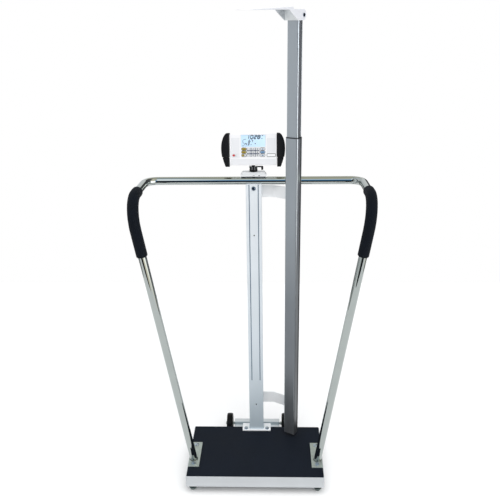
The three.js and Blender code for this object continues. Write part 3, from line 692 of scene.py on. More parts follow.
def make_deck():
    """A pressed cover: a flat top, a rounded shoulder, and a skirt that is open below."""
    low, high = span("platform_deck")
    under, shoulder = high.z - DECK_SHEET, 4.0
    stack = [(DECK_SHEET + 1, under), (DECK_SHEET, under - 1), (DECK_SHEET, low.z + 0.8)]
    stack += [(DECK_SHEET - 0.8, low.z), (0.8, low.z), (0, low.z + 0.8)]
    for angle in quarter_turn(6):
        stack.append((shoulder * (1 - math.cos(angle)), high.z - shoulder * (1 - math.sin(angle))))
    bm = bmesh.new()
    skin(bm, rings_at(plan_of(low, high, DECK_CORNER, 8), stack))
    make("deck_cover", bm, "root", ["deck"], stands_for=["platform_deck"])


def make_mat():
    """The tread: a chamfered border round a pebbled field that stands a little proud of it."""
    low, high = span("tread_mat")
    border = 4
    stack = [
        (0, low.z), (0, high.z - 1.6), (0.5, high.z - 0.9), (border, high.z - 0.7), (border + 1.2, high.z),
    ]
    bm = bmesh.new()
    skin(bm, rings_at(plan_of(low, high, 4, 6), stack))
    for axis, start, end in ((0, low.x, high.x), (1, low.y, high.y)):
        along = Vector((1 - axis, axis, 0))
        cuts = round((end - start) / 40)
        for k in range(1, cuts):
            at = along * (start + (end - start) * k / cuts)
            everything = [*bm.verts, *bm.edges, *bm.faces]
            bmesh.ops.bisect_plane(bm, geom=everything, plane_co=at, plane_no=along)
    make("tread_rubber_mat", bm, "root", ["tread"], stands_for=["tread_mat"], sharp=20)


def hex_bolt(bm, at, seat, across, height, washer):
    """A bolt head with a chamfered hexagon over a plain washer."""
    place = Matrix.Translation((at[0], at[1], seat))
    lathe(bm, [(0, 0), (washer, 0), (washer, 1.2), (washer - 0.4, 1.6), (0, 1.6)], place, 36)
    slab(bm, circle(across / math.sqrt(3), 6), 1.6, 1.6 + height, 0.3, 1.1, place, 2)
    dome, top = across / 2 - 1, height + 2.1
    lathe(bm, [(0, height), (dome, height), (dome, top - 0.4), (dome - 1.4, top), (0, top)], place, 30)


def dome_bolt(bm, at, seat, radius, height):
    """A low mushroom head with a washer, as on a carriage bolt."""
    place = Matrix.Translation((at[0], at[1], seat))
    profile = [(0, 0), (radius + 1.5, 0), (radius + 1.5, 1.2), (radius, 1.4)]
    for k in range(1, 8):
        angle = k / 7 * PI / 2
        profile.append((radius * math.cos(angle), 1.4 + (height - 1.4) * math.sin(angle)))
    profile[-1] = (0, height)
    lathe(bm, profile, place, 40)


BOLT_SHANK = 5


def nut_bar(bm, ends, top, seat):
    """The bar under the deck that two bolts screw into, with their shanks."""
    xs = [x for x, y in ends]
    ys = [y for x, y in ends]
    width = max(xs) - min(xs) + 16
    depth = max(ys) - min(ys) + 16
    middle = ((max(xs) + min(xs)) / 2, (max(ys) + min(ys)) / 2)
    slab(bm, rounded_rect(width, depth, 3, 4, middle), top - 7, top, 0.6)
    for x, y in ends:
        slab(bm, circle(BOLT_SHANK, 24, (x, y)), top - 4, seat + 1, 0.2)


def make_foot_plates():
    """The plates that the rail stands on, each with a hexagon bolt in front and a domed one behind."""
    for name in ("left", "right"):
        low, high = span(f"{name}_foot_plate")
        bm = block(plan_of(low, high, 3, 5), low.z, high.z, 0.4, top_edge=1.0)
        make(f"{name}_rail_plate", bm, "root", ["zinc"], stands_for=[f"{name}_foot_plate"])
        bolts_low, bolts_high = span(f"{name}_foot_plate_bolts")
        x = (bolts_low.x + bolts_high.x) / 2
        margin = 8
        front, back = bolts_low.y + margin, bolts_high.y - margin
        bm = bmesh.new()
        nut_bar(bm, [(x, front), (x, back)], bolts_low.z + 7, high.z)
        hex_bolt(bm, (x, front), high.z + 0.2, across=14, height=5, washer=10)
        dome_bolt(bm, (x, back), high.z + 0.2, radius=9.5, height=6)
        make(f"{name}_rail_bolts", bm, "root", ["steel"],
             stands_for=[f"{name}_foot_plate_bolts"])


def make_feet():
    """Tapered levelling feet with a stud and a lock nut."""
    for number in (1, 2, 3, 4):
        low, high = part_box(f"levelling_foot_{number}")
        at = (low + high) / 2
        place = Matrix.Translation((at.x, at.y, 0)) @ Matrix.Scale(MM, 4)
        bm = bmesh.new()
        lathe(bm, [
            (0, 0), (10.4, 0), (11, 0.6), (17.6, 12.2), (18.4, 13.4), (18.5, 15.6), (17.8, 16.6), (15, 17.2),
            (8.6, 18.4), (8, 19.4), (5.2, 20.6),
        ] + [(5.2 - 0.5 * (k % 2), 21 + k) for k in range(46)] + [(4, 68), (0, 68)], steps=44)
        slab(bm, circle(8.5, 6), 35.7, 43.7, 0.6, 0.6, steps=2)
        make(f"foot_pad_{number}", bm, f"foot_{number}", ["foot_zinc"], place=place,
             stands_for=[f"levelling_foot_{number}"])


# ---- column ---------------------------------------------------------------------------------------------
GROOVE_X, GROOVE_WIDTH, GROOVE_DEPTH, GROOVE_BOTTOM = 19.3, 5, 1.3, 373
COLUMN_CORNER = 3.2


def column_outline(width, depth, groove):
    """The column's section, front face first, with its two grooves pressed in by groove."""
    half = width / 2
    front = []
    for x in (-GROOVE_X, GROOVE_X):
        left, right = x - GROOVE_WIDTH / 2, x + GROOVE_WIDTH / 2
        slope = 0.7
        front += [(left - 0.6, 0), (left, groove * 0.15), (left + slope, groove)]
        front += [(right - slope, groove), (right, groove * 0.15), (right + 0.6, 0)]
    corners = [(half, 0), (half, depth), (-half, depth), (-half, 0)]
    points = list(front)
    for quarter, (x, y) in enumerate(corners):
        sx, sy = (1 if x > 0 else -1), (1 if y > 0 else -1)
        for k in range(7):
            angle = (quarter - 1 + k / 6) * PI / 2
            points.append((
                x - sx * COLUMN_CORNER + COLUMN_CORNER * math.cos(angle),
                y - sy * COLUMN_CORNER + COLUMN_CORNER * math.sin(angle),
            ))
    return points


COLUMN_HOLES = (240, 1102)
TOP_SCREW_Z = 1311


def make_column():
    """The extrusion with its two grooves, its small holes with a dark disc set inside each, and the screw
    near the top.
    """
    low, high = span("column")
    stack = [(low.z, 0), (GROOVE_BOTTOM - 1, 0), (GROOVE_BOTTOM + 1, GROOVE_DEPTH), (high.z, GROOVE_DEPTH)]
    rings = []
    for z, groove in stack:
        outline = column_outline(high.x - low.x, high.y - low.y, groove)
        rings.append([(x, low.y + y, z) for x, y in outline])
    bm = bmesh.new()
    for face in skin(bm, rings):
        # the groove floors take the dark groove colour: painted shade in the recesses.
        centre = face.calc_center_median()
        if low.y + 0.6 * GROOVE_DEPTH < centre.y < low.y + 2 * GROOVE_DEPTH:
            if abs(abs(centre.x) - GROOVE_X) < GROOVE_WIDTH / 2 and centre.z > GROOVE_BOTTOM:
                face.material_index = 1
    column = make("column_extrusion", bm, "root", ["column", "groove"],
                  stands_for=["column"])
    holes = [Matrix.Translation((0, low.y, z)) @ UPRIGHT for z in COLUMN_HOLES]
    bar = Matrix.Translation((0, BAR_Y, BAR_Z)) @ SIDEWAYS
    cutters = [drill(3.4, -5, 8, hole, 24) for hole in holes]
    carve(column, [*cutters, drill(RAIL_RADIUS + 0.8, -50, 50, bar, 64)], PLATFORM)

    bm = bmesh.new()
    # a gloss black disc set 1 to 2 mm inside each hole
    for hole in holes:
        lathe(bm, [(0, -2), (2.7, -2), (2.7, -1), (0, -1)], hole, 24)
    make("column_hole_dark_discs", bm, "root", ["gloss_black"])

    bm = bmesh.new()
    face = Matrix.Translation((0, low.y + 0.3, TOP_SCREW_Z)) @ UPRIGHT
    lathe(bm, [(0, 0), (9, 0), (9, 1), (8.4, 2.4), (6.6, 3.8), (4.2, 4.4), (4.2, 3.2), (0, 3.2)], face, 40)
    make("column_top_screw", bm, "root", ["screw"])


def make_base_plate():
    low, high = span("column_base_plate")
    bm = block(plan_of(low, high, 3, 5), low.z, high.z, 0.5, top_edge=1.4)
    make("column_foot", bm, "root", ["white"], stands_for=["column_base_plate"])

    column_low, column_high = span("column")
    bm = bmesh.new()
    outline = column_outline(column_high.x - column_low.x, column_high.y - column_low.y, 0)
    rings = []
    for angle in quarter_turn(4):
        grow, z = -3 * (1 - math.sin(angle)), high.z + 3 * (1 - math.cos(angle))
        rings.append([(x, column_low.y + y, z) for x, y in offset(outline, grow)])
    skin(bm, rings)
    make("column_weld", bm, "root", ["column"])

    bolts_low, bolts_high = span("column_bolts")
    y = (bolts_low.y + bolts_high.y) / 2
    xs = (bolts_low.x + 8, bolts_high.x - 8)
    bm = bmesh.new()
    nut_bar(bm, [(x, y) for x in xs], bolts_low.z + 7, high.z)
    for x in xs:
        hex_bolt(bm, (x, y), high.z + 0.2, across=14.5, height=5.5, washer=9.5)
    make("column_foot_bolts", bm, "root", ["steel"], stands_for=["column_bolts"])


# ---- handrail -------------------------------------------------------------------------------------------
RAIL_RADIUS = 16.7
RAIL_FOOT = (280.5, 110)
RAIL_CORNER = (463, 32)
BAR_X, BAR_Y, BAR_Z = 456, 354, 1340.5
FRONT_BEND, BACK_BEND = 112, 52
GRIP_LOW, GRIP_BACK, GRIP_RADIUS, GRIP_INNER = 1117, 186, 22.4, 17.2


def rail_corners(side):
    """The foot, the front bend and the back bend of one leg, and the height of its plate's top."""
    plate_top = span("left_foot_plate")[1].z
    foot = Vector((side * RAIL_FOOT[0], RAIL_FOOT[1], plate_top - 12))
    front = Vector((side * RAIL_CORNER[0], RAIL_CORNER[1], BAR_Z))
    back = Vector((side * BAR_X, BAR_Y, BAR_Z))
    return foot, front, back, plate_top


def make_handrail():
    """One bent tube from plate to plate, with its ends coped to the plates."""
    middle = Vector((0, BAR_Y, BAR_Z))
    halves = []
    for side in (-1, 1):
        foot, front, back, plate_top = rail_corners(side)
        front_arc = arc(foot, front, back, FRONT_BEND, 22)
        back_arc = arc(front, back, middle, BACK_BEND, 18)
        leg = [foot.lerp(front_arc[0], share) for share in (0, 0.33, 0.66)]
        halves.append([*leg, *front_arc, *back_arc])
    path = [*halves[0], middle, *halves[1][::-1]]
    rings = sweep(path, [RAIL_RADIUS] * len(path), 48)
    for ring, after in ((rings[0], rings[1]), (rings[-1], rings[-2])):
        for i, (low, high) in enumerate(zip(ring, after)):
            share = (plate_top + 0.1 - low.z) / (high.z - low.z)
            ring[i] = low.lerp(high, share)
    bm = bmesh.new()
    skin(bm, rings)
    make("handrail_tube", bm, "root", ["chrome"], stands_for=["handrail"], weighted=False)

    bm = bmesh.new()
    chance = random.Random(4)
    for ring in (rings[0], rings[-1]):
        centre = sum(ring, Vector()) / len(ring)
        bead = []
        for point in ring:
            outward = (point - centre).normalized()
            bead.append([
                point + outward * (2.6 + chance.uniform(-0.4, 0.4)) * math.cos(a)
                + Vector((0, 0, 1)) * (2.4 + chance.uniform(-0.4, 0.4)) * math.sin(a)
                for a in [2 * PI * k / 10 for k in range(10)]
            ])
        skin(bm, bead, closed=True)
    make("handrail_welds", bm, "root", ["weld"], weighted=False, sharp=80)


def make_grips():
    """Foam sleeves with rounded ends, a little uneven."""
    for side, name in ((-1, "left"), (1, "right")):
        foot, front, back, _ = rail_corners(side)
        start = foot.lerp(front, (GRIP_LOW - foot.z) / (front.z - foot.z))
        end = front.lerp(back, (GRIP_BACK - front.y) / (back.y - front.y))
        bent = arc(foot, front, back, FRONT_BEND, 26)
        lower = [start.lerp(bent[0], k / 24) for k in range(24)]
        upper = [bent[-1].lerp(end, k / 12) for k in range(1, 13)]
        path = [*lower, *bent, *upper]
        round_end = 5.2
        ends = quarter_turn(6)
        first = (path[1] - path[0]).normalized()
        last = (path[-1] - path[-2]).normalized()
        opening = [path[0] + first * round_end * (1 - math.cos(a)) for a in ends]
        closing = [path[-1] - last * round_end * (1 - math.cos(a)) for a in reversed(ends)]
        inside = [p for p in path if min((p - path[0]).length, (p - path[-1]).length) > round_end + 1]
        radii = [GRIP_INNER + (GRIP_RADIUS - GRIP_INNER) * math.sin(a) for a in ends]
        run = [*opening, *inside, *closing]
        sizes = [*radii, *[GRIP_RADIUS] * len(inside), *radii[::-1]]
        chance = random.Random(11 + side)
        sizes = [s + (chance.uniform(-0.12, 0.12) if s == GRIP_RADIUS else 0) for s in sizes]
        inner = sweep(run, [GRIP_INNER - 0.3] * len(run), 48)
        bm = bmesh.new()
        skin(bm, [*sweep(run, sizes, 48), *inner[::-1]], closed=True)
        foam = make(f"{name}_foam_sleeve", bm, "root", ["foam"], stands_for=[f"{name}_grip"],
                    weighted=False, sharp=60)


# ---- height rod -----------------------------------------------------------------------------------------
ROD_WIDTH, ROD_DEPTH, ROD_CORNER, ROD_WALL = 56, 41, 6, 3
MAST_WIDTH, MAST_DEPTH, MAST_CORNER, MAST_WALL = 49, 34, 4, 2.5
SLOT_FROM, SLOT_TO, SLOT_DEPTH = 4, 15, 1.8


def rod_section(width, depth, corner, slot_to, slot_depth):
    """A rounded rectangle with a slot down its right face, counter-clockwise from the right face."""
    half = width / 2
    lip = min(0.3, slot_depth)
    slot = [(half, SLOT_FROM - lip), (half - lip, SLOT_FROM), (half - slot_depth, SLOT_FROM + 0.3)]
    slot += [(half - slot_depth, slot_to - 0.3), (half - lip, slot_to), (half, slot_to + lip)]
    outline = rounded_rect(width, depth, corner, 7)
    return slot + outline[8:] + outline[:8]


def make_rod():
    rod_size = (ROD_WIDTH, ROD_DEPTH, ROD_CORNER, ROD_WALL)
    mast_size = (MAST_WIDTH, MAST_DEPTH, MAST_CORNER, MAST_WALL)
    for node, name, size, look, body in (
        ("rod_outer", "rod_outer_extrusion", rod_size, "rod", "root"),
        ("rod_inner", "rod_inner_extrusion", mast_size, "mast", "mast"),
    ):
        width, depth, corner, wall = size
        low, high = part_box(node)
        bottom, top = low.z / MM, high.z / MM
        slot_to = SLOT_TO - (ROD_DEPTH - depth) / 2
        section = rod_section(width, depth, corner, slot_to, SLOT_DEPTH)
        bore = rod_section(width - 2 * wall, depth - 2 * wall, corner - wall, slot_to, 0)
        stack = [(bore, bottom + 0.5), (offset(section, 0.1), bottom), (section, bottom + 0.1)]
        stack += [(section, top - 0.1), (offset(section, 0.1), top), (bore, top - 0.5)]
        bm = bmesh.new()
        skin(bm, [[(x, y, z) for x, y in points] for points, z in stack], closed=True)
        for face in bm.faces:
            centre = face.calc_center_median()
            # the slot's floor takes the dark slot colour: painted shade.
            if abs(centre.x - width / 2 + SLOT_DEPTH) < 0.1 and SLOT_FROM < centre.y < slot_to:
                face.material_index = 1
            # faces on the right-hand side take the darker copy of the finish: painted shade.
            elif centre.x > width / 2 - corner / 3:
                face.material_index = 2
        side = "rod_shaded_face" if look == "rod" else look
        make(name, bm, body, [look, "slot", side], place=ROD, stands_for=[node])

    low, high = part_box("rod_collar")
    bm = bmesh.new()
    outer = rounded_rect(ROD_WIDTH, ROD_DEPTH, ROD_CORNER, 7)
    inner = rounded_rect(MAST_WIDTH + 1.2, MAST_DEPTH + 1.2, MAST_CORNER, 7)
    bottom, top = low.z / MM, high.z / MM
    stack = [(inner, bottom), (outer, bottom), (outer, top - 1), (offset(outer, 1), top), (inner, top)]
    skin(bm, [[(x, y, z) for x, y in points] for points, z in stack], closed=True)
    make("rod_end_ring", bm, "root", ["legend"], place=ROD, stands_for=["rod_collar"])

    for name, face_x, z, body in (
        ("rod_screw_low", ROD_WIDTH / 2, 1507, "root"), ("rod_screw_middle", MAST_WIDTH / 2, 1946, "mast"),
        ("rod_screw_high", MAST_WIDTH / 2, 1964, "mast"),
    ):
        bm = bmesh.new()
        at = (face_x - SLOT_DEPTH - 0.1, (SLOT_FROM + SLOT_TO) / 2 - 1, z)
        place = ROD @ Matrix.Translation(at) @ SIDEWAYS
        lathe(bm, [(0, 0), (3.4, 0), (3.4, 0.7), (2.6, 1.5), (1.4, 1.7), (1.2, 1.1), (0, 1.1)], steps=28)
        make(name, bm, body, ["gloss_black"], place=place)


STRAP_THICK = 3
SCREW_HEAD = [(0, -0.2), (6, -0.2), (6, 0.8), (4.8, 2.8), (2.6, 3.6), (2.2, 2.4), (0, 2.4)]


def make_straps():
    turn = math.radians(ROD_TURN)
    along = Vector((math.cos(turn), math.sin(turn)))
    normal = Vector((-along.y, along.x))
    rod_at = (PLATFORM.inverted() @ Vector((rod_axis.x, rod_axis.y, 0))).to_2d()
    face = rod_at + normal * (ROD_DEPTH / 2 + 0.3)
    end = face + along * (ROD_WIDTH / 2 - 4)
    for node, name in (("lower_rod_bracket", "lower_rod_strap"), ("upper_rod_bracket", "upper_rod_strap")):
        low, high = span(node)
        front = span("column")[1].y + 0.3
        bend_at = face + along * ((front - face.y) / along.y)
        miter = STRAP_THICK * math.tan(-turn / 2)
        far = end + normal * STRAP_THICK
        bend_radius = 5
        outline = round_corners([
            (low.x, front, 0), (bend_at.x, front, bend_radius), (end.x, end.y, 0), (far.x, far.y, 0),
            (bend_at.x + miter, front + STRAP_THICK, bend_radius + STRAP_THICK),
            (low.x, front + STRAP_THICK, 0),
        ], 8)
        bm = block(outline, low.z, high.z, 0.7, steps=2)
        # the straps take the brighter copy of the white: painted light.
        make(name, bm, "root", ["strap"], stands_for=[node])
        bm = bmesh.new()
        middle = (low.z + high.z) / 2
        for at, outward in (
            (Vector((-2, front + STRAP_THICK)), Vector((0, 1))),
            (face + normal * STRAP_THICK, normal),
        ):
            for rise in (-15, 15):
                direction = Vector((outward.x, outward.y, 0))
                spin = direction.to_track_quat("Z", "Y").to_matrix().to_4x4()
                place = Matrix.Translation((at.x, at.y, middle + rise)) @ spin
                lathe(bm, SCREW_HEAD, place, 32)
        make(f"{name}_screws", bm, "root", ["steel"])


HEAD_HALF, CHEEK, PIVOT_Y, PIVOT_Z = 32, 3, 10, 1992
WEB_Y, WEB, HEAD_BOTTOM, CHEEK_TOP = -26, 3, 1973, 2012.5
BLADE_ROOT, GUSSET_FRONT, BLADE_UNDER, BLADE_TIP, TIP_ROUND = -74, -106, 2011, -376, 24
ROOT_TOP, TIP_TOP = 2021, 2013


def make_headpiece():
    """A thin tapering blade on two rounded cheeks, stiffened by a web and a triangular gusset each side."""
    bm = bmesh.new()
    back = BLADE_ROOT + 6
    length = back - BLADE_TIP + 60
    plan = rounded_rect(2 * HEAD_HALF, length, TIP_ROUND, 10, (0, BLADE_TIP + length / 2))
    kept = sorted_ring([p for p in plan if p[1] <= back] + [(HEAD_HALF, back), (-HEAD_HALF, back)])
    stations = []
    edge = 0.8
    for inset, rise in ((edge, 0), (0.25, 0.25), (0, edge)):
        stations.append([(x, y, BLADE_UNDER + rise) for x, y in offset(kept, inset)])
    for inset, drop in ((0, edge), (0.25, 0.25), (edge, 0)):
        ring = []
        for x, y in offset(kept, inset):
            share = min(1, (y - BLADE_TIP) / (BLADE_ROOT - BLADE_TIP))
            ring.append((x, min(y, BLADE_ROOT), TIP_TOP + (ROOT_TOP - TIP_TOP) * share - drop))
        stations.append(ring)
    skin(bm, stations)
    looks_used = ["head", "head_web_shaded", "head_shade", "head_cheek_shaded"]
    blade = make("headpiece_blade", bm, "headpiece", looks_used, place=ROD,
                 stands_for=["headpiece"])

    radius = (CHEEK_TOP - HEAD_BOTTOM) / 2
    middle = (CHEEK_TOP + HEAD_BOTTOM) / 2
    outline = [(GUSSET_FRONT, BLADE_UNDER + 2), (WEB_Y - WEB, HEAD_BOTTOM)]
    for k in range(21):
        angle = (k / 20 - 0.5) * PI
        outline.append((PIVOT_Y + radius * math.cos(angle), middle + radius * math.sin(angle)))
    outline += [(BLADE_ROOT + 6, CHEEK_TOP), (BLADE_ROOT, CHEEK_TOP + 6), (GUSSET_FRONT, BLADE_UNDER + 5)]
    joined = []
    for side in (-1, 1):
        near, far = sorted((side * HEAD_HALF, side * (HEAD_HALF - CHEEK)))
        joined.append(block(outline, near, far, 0.7, place=SIDEWAYS, steps=2))
    width, web_top, shelf_back = 2 * HEAD_HALF - 2, BLADE_UNDER + 1, BLADE_ROOT - 4
    web = rounded_rect(width, web_top - HEAD_BOTTOM, 1, 2, (0, (web_top + HEAD_BOTTOM) / 2))
    joined.append(block(web, -WEB_Y, -WEB_Y + WEB, 0.4, place=UPRIGHT, steps=2))
    shelf = rounded_rect(width, WEB_Y - shelf_back, 1, 2, (0, (WEB_Y + shelf_back) / 2))
    joined.append(block(shelf, BLADE_UNDER + 0.1, CHEEK_TOP - 0.1, 0.3, steps=2))
    carve(blade, joined, ROD, "UNION")
    pivot = Matrix.Translation((0, PIVOT_Y, PIVOT_Z)) @ SIDEWAYS
    carve(blade, [drill(4.5, -60, 60, pivot)], ROD)
    to_rod = ROD.inverted() @ blade.matrix_world
    for face in blade.data.polygons:
        centre = to_rod @ face.center
        facing = (to_rod.to_3x3() @ face.normal).normalized()
        in_gusset = GUSSET_FRONT < centre.y < WEB_Y - WEB / 2
        # the web's front takes the greyer copy: painted shade under the blade.
        if in_gusset and facing.y < -0.9 and centre.z < BLADE_UNDER:
            face.material_index = 1
        # the gusset's inner face and the blade's underside take the darker grey: painted shade.
        elif in_gusset and facing.x > 0.9 and centre.x < -20:
            face.material_index = 2
        elif in_gusset and facing.z < -0.9 and centre.y > GUSSET_FRONT + 4:
            face.material_index = 2
        # the cheeks' outer faces take the bluer copy: painted shade on the sides.
        elif abs(facing.x) > 0.9 and abs(centre.x) > HEAD_HALF - 0.2 and centre.z < CHEEK_TOP + 2:
            face.material_index = 3

    bm = bmesh.new()
    face = HEAD_HALF + 0.2
    lathe(bm, [
        (0, -face - 2.6), (4, -face - 2.6), (6.4, -face - 1.6), (7, -face), (4, -face), (4, face), (7, face),
        (7, face + 1.8), (6.2, face + 3), (3.4, face + 3), (3.4, face + 0.4), (0, face + 0.4),
    ], pivot, 40)
    make("headpiece_screw", bm, "mast", ["screw"], place=ROD, stands_for=["headpiece_pin"])


def sorted_ring(points):
    """The points counter-clockwise round their middle."""
    cx = sum(x for x, y in points) / len(points)
    cy = sum(y for x, y in points) / len(points)
    unique = sorted({(round(x, 4), round(y, 4)) for x, y in points})
    return sorted(unique, key=lambda p: math.atan2(p[1] - cy, p[0] - cx))


# ---- indicator ------------------------------------------------------------------------------------------
SHELL_HALF, SHELL_LOW, SHELL_TOP, SHELL_FRONT, SHELL_SPLIT, SHELL_BACK = 97, 9.3, 137.8, 30, 9, -16
SHELL_MIDDLE = (SHELL_LOW + SHELL_TOP) / 2
LCD_LEFT, LCD_RIGHT, LCD_LOW, LCD_HIGH, LCD_LIP = -50.7, 52.1, 82.7, 133.8, 1.5
KEY_ROWS = (75.4, 62.8, 49.8)
NUMBER_X = (-17.2, 0.5, 17.8)
UNIT_X, FUNCTION_X, POWER_AT = -37.4, 39.2, (-75.6, 50.2)
OVAL, SQUARE = (19, 9), (14.5, 9)
KEY_PROUD = 1.1
FILM_RISE, LINE_RISE = 0.22, 0.3
LUG_RADIUS = 5.6
COVER_SCREW = [(0, 0), (4.2, 0), (4.2, 0.9), (3.2, 1.8), (1.6, 2), (1.4, 1.2), (0, 1.2)]


def key_outline(oval, grow, middle):
    width, height = OVAL if oval else SQUARE
    radius = height / 2 - 0.05 if oval else 1.6
    return rounded_rect(width + 2 * grow, height + 2 * grow, radius + grow, 8 if oval else 4, middle)


def all_keys():
    """Each key's node, its place on the face, whether it is oval, and its colour."""
    for row, z in enumerate(KEY_ROWS):
        yield f"unit_key_{row + 1}", (UNIT_X, z), True, "yellow"
        for column, x in enumerate(NUMBER_X):
            yield f"number_key_{3 * row + column + 1}", (x, z), False, "key_white"
        yield f"function_key_{row + 1}", (FUNCTION_X, z), True, "blue"
    yield "power_key", POWER_AT, True, "red"


def face_slab(outline, low, high, edge, top_edge=None):
    """A slab that stands on the indicator's face: low and high count forwards from the tilt axis."""
    return block(outline, low, high, edge, top_edge=top_edge, place=UPRIGHT)


def lcd_outline(grow, radius, steps):
    """The display's rectangle, made wider and higher by an amount."""
    middle = ((LCD_LEFT + LCD_RIGHT) / 2, (LCD_LOW + LCD_HIGH) / 2)
    return rounded_rect(LCD_RIGHT - LCD_LEFT + grow, LCD_HIGH - LCD_LOW + grow, radius, steps, middle)


def make_shells():
    """The front and back cases, hollow and cut for the display and keys, with the boot and rear cover."""
    size = (2 * SHELL_HALF, SHELL_TOP - SHELL_LOW)
    outer = rounded_rect(*size, 6, 6, (0, SHELL_MIDDLE))
    front = make(
        "indicator_front_case", face_slab(outer, SHELL_SPLIT, SHELL_FRONT, 0.4, 3.0), "indicator",
        ["plastic"], place=INDICATOR, stands_for=["indicator_front"],
    )
    cavity = rounded_rect(size[0] - 5, size[1] - 5, 4, 4, (0, SHELL_MIDDLE))
    window = lcd_outline(-2 * LCD_LIP, 1.5, 4)
    cutters = [face_slab(cavity, SHELL_SPLIT - 5, SHELL_FRONT - 3, 0.1, 1)]
    cutters.append(face_slab(window, SHELL_FRONT - 6, SHELL_FRONT + 5, 0.01))
    cutters += [face_slab(key_outline(oval, 0.4, at), SHELL_FRONT - 6, SHELL_FRONT + 5, 0.01)
                for _, at, oval, _ in all_keys()]
    carve(front, cutters, INDICATOR)

    back = make(
        "indicator_back_case", face_slab(outer, SHELL_BACK, SHELL_SPLIT - 0.3, 4.0, 0.4), "indicator",
        ["plastic", "black"], place=INDICATOR, stands_for=["indicator_back"],
    )
    hollow = face_slab(cavity, SHELL_BACK + 2.5, SHELL_SPLIT + 5, 1, 0.1)
    carve(back, [hollow], INDICATOR)
    lower_half = [PI + k / 14 * PI for k in range(15)]
    lug = [(LUG_RADIUS * math.cos(a), LUG_RADIUS * math.sin(a)) for a in lower_half]
    lug = [(-LUG_RADIUS, 11), *lug, (9, 11)]
    carve(back, [block(lug, -7, 7, 0.5, place=SIDEWAYS, steps=2)], INDICATOR, "UNION")
    carve(back, [drill(3.4, -12, 12, SIDEWAYS, 28)], INDICATOR)
    to_tilt = INDICATOR.inverted() @ back.matrix_world
    for face in back.data.polygons:
        if (to_tilt @ face.center).z < SHELL_LOW - 0.05:
            face.material_index = 1
    bm = bmesh.new()
    slab(bm, rounded_rect(36, 21, 2, 4, (0, -4)), SHELL_LOW - 1.4, SHELL_LOW + 0.1, 0.4)
    make("indicator_boot", bm, "indicator", ["black"], place=INDICATOR)

    bm = bmesh.new()
    panel = rounded_rect(120, 70, 4, 5, (0, SHELL_MIDDLE + 8))
    slab(bm, panel, -SHELL_BACK - 0.2, -SHELL_BACK + 1.2, 0.3, 0.8, Matrix.Rotation(PI, 4, "Z") @ UPRIGHT)
    for x in (-82, 82):
        for z in (24, 126):
            place = Matrix.Translation((x, -SHELL_BACK - 0.6, z)) @ Matrix.Rotation(PI, 4, "Z") @ UPRIGHT
            lathe(bm, COVER_SCREW, place, 28, 1)
    make("indicator_rear_cover", bm, "indicator", ["plastic", "steel"], place=INDICATOR)


def film(bm, outline):
    """A thin printed film on the indicator's front face."""
    slab(bm, outline, SHELL_FRONT - 0.1, SHELL_FRONT + FILM_RISE, 0.02, 0.06, UPRIGHT, 1)


def frame_film(bm, outline, width, index):
    """A thin printed line round an outline."""
    inner, low, high = offset(outline, width), SHELL_FRONT - 0.1, SHELL_FRONT + LINE_RISE
    rings = [
        [UPRIGHT @ Vector((x, y, z)) for x, y in points]
        for points, z in ((outline, low), (outline, high), (inner, high), (inner, low))
    ]
    skin(bm, rings, closed=True, index=index)


def make_overlay():
    """The printed film: grey side panels, a lower strip, a ground under the number keys, and outlines."""
    bm = bmesh.new()
    film(bm, rounded_rect(36, 82, 1.5, 3, (-73.4, 80)))
    film(bm, rounded_rect(36, 60, 1.5, 3, (74.2, 90)))
    film(bm, rounded_rect(184, 23, 1.5, 3, (0.6, 24)))
    frame_film(bm, rounded_rect(37, 14.5, 4, 5, (74.8, 50.4)), 1.7, 2)
    for _, at, oval, _ in all_keys():
        if oval:
            frame_film(bm, key_outline(True, 1.7, at), 1.2, 2)
    frame_film(bm, lcd_outline(1, 2, 4), 1.6, 0)
    overlay = make("indicator_overlay", bm, "indicator", ["panel", "key_ground", "legend"],
                   place=INDICATOR, weighted=False)
    power = face_slab(key_outline(True, 0.4, POWER_AT), SHELL_FRONT - 2, SHELL_FRONT + 2, 0.01)
    carve(overlay, [power], INDICATOR)

    bm = bmesh.new()
    film(bm, rounded_rect(52, 35.5, 1, 3, (0.3, 62.6)))
    ground = make("keypad_ground", bm, "indicator", ["key_ground"], place=INDICATOR,
                  weighted=False)
    tools = [face_slab(key_outline(oval, 0.4, at), SHELL_FRONT - 2, SHELL_FRONT + 2, 0.01)
             for _, at, oval, _ in all_keys()]
    carve(ground, tools, INDICATOR)


SEGMENTS = {
    "0": "abcdef", "1": "bc", "2": "abged", "3": "abgcd", "4": "fgbc", "5": "afgcd", "6": "afgedc",
    "7": "abc", "8": "abcdefg", "9": "abcdfg",
}


def digit(bm, figure, left, bottom, width, height, stroke, surface_at, rise, slant, index):
    """One seven-segment figure, as thin raised bars."""
    half = height / 2
    gap = stroke * 0.06
    bars = {
        "a": ((0, height), (width, height)), "g": ((0, half), (width, half)), "d": ((0, 0), (width, 0)),
        "f": ((0, half), (0, height)), "b": ((width, half), (width, height)),
        "e": ((0, 0), (0, half)), "c": ((width, 0), (width, half)),
    }
    for name in SEGMENTS[figure]:
        start, end = Vector(bars[name][0]), Vector(bars[name][1])
        along = (end - start).normalized()
        start, end = start + along * gap, end - along * gap
        across = Vector((-along.y, along.x)) * stroke / 2
        inset = along * stroke / 2
        corners = [start, start + inset - across, end - inset - across, end, end - inset + across,
                   start + inset + across]
        points = [(left + p.x + slant * p.y, bottom + p.y) for p in corners]
        slab(bm, points, surface_at, surface_at + rise, 0.01, 0.01, UPRIGHT, 1, index)


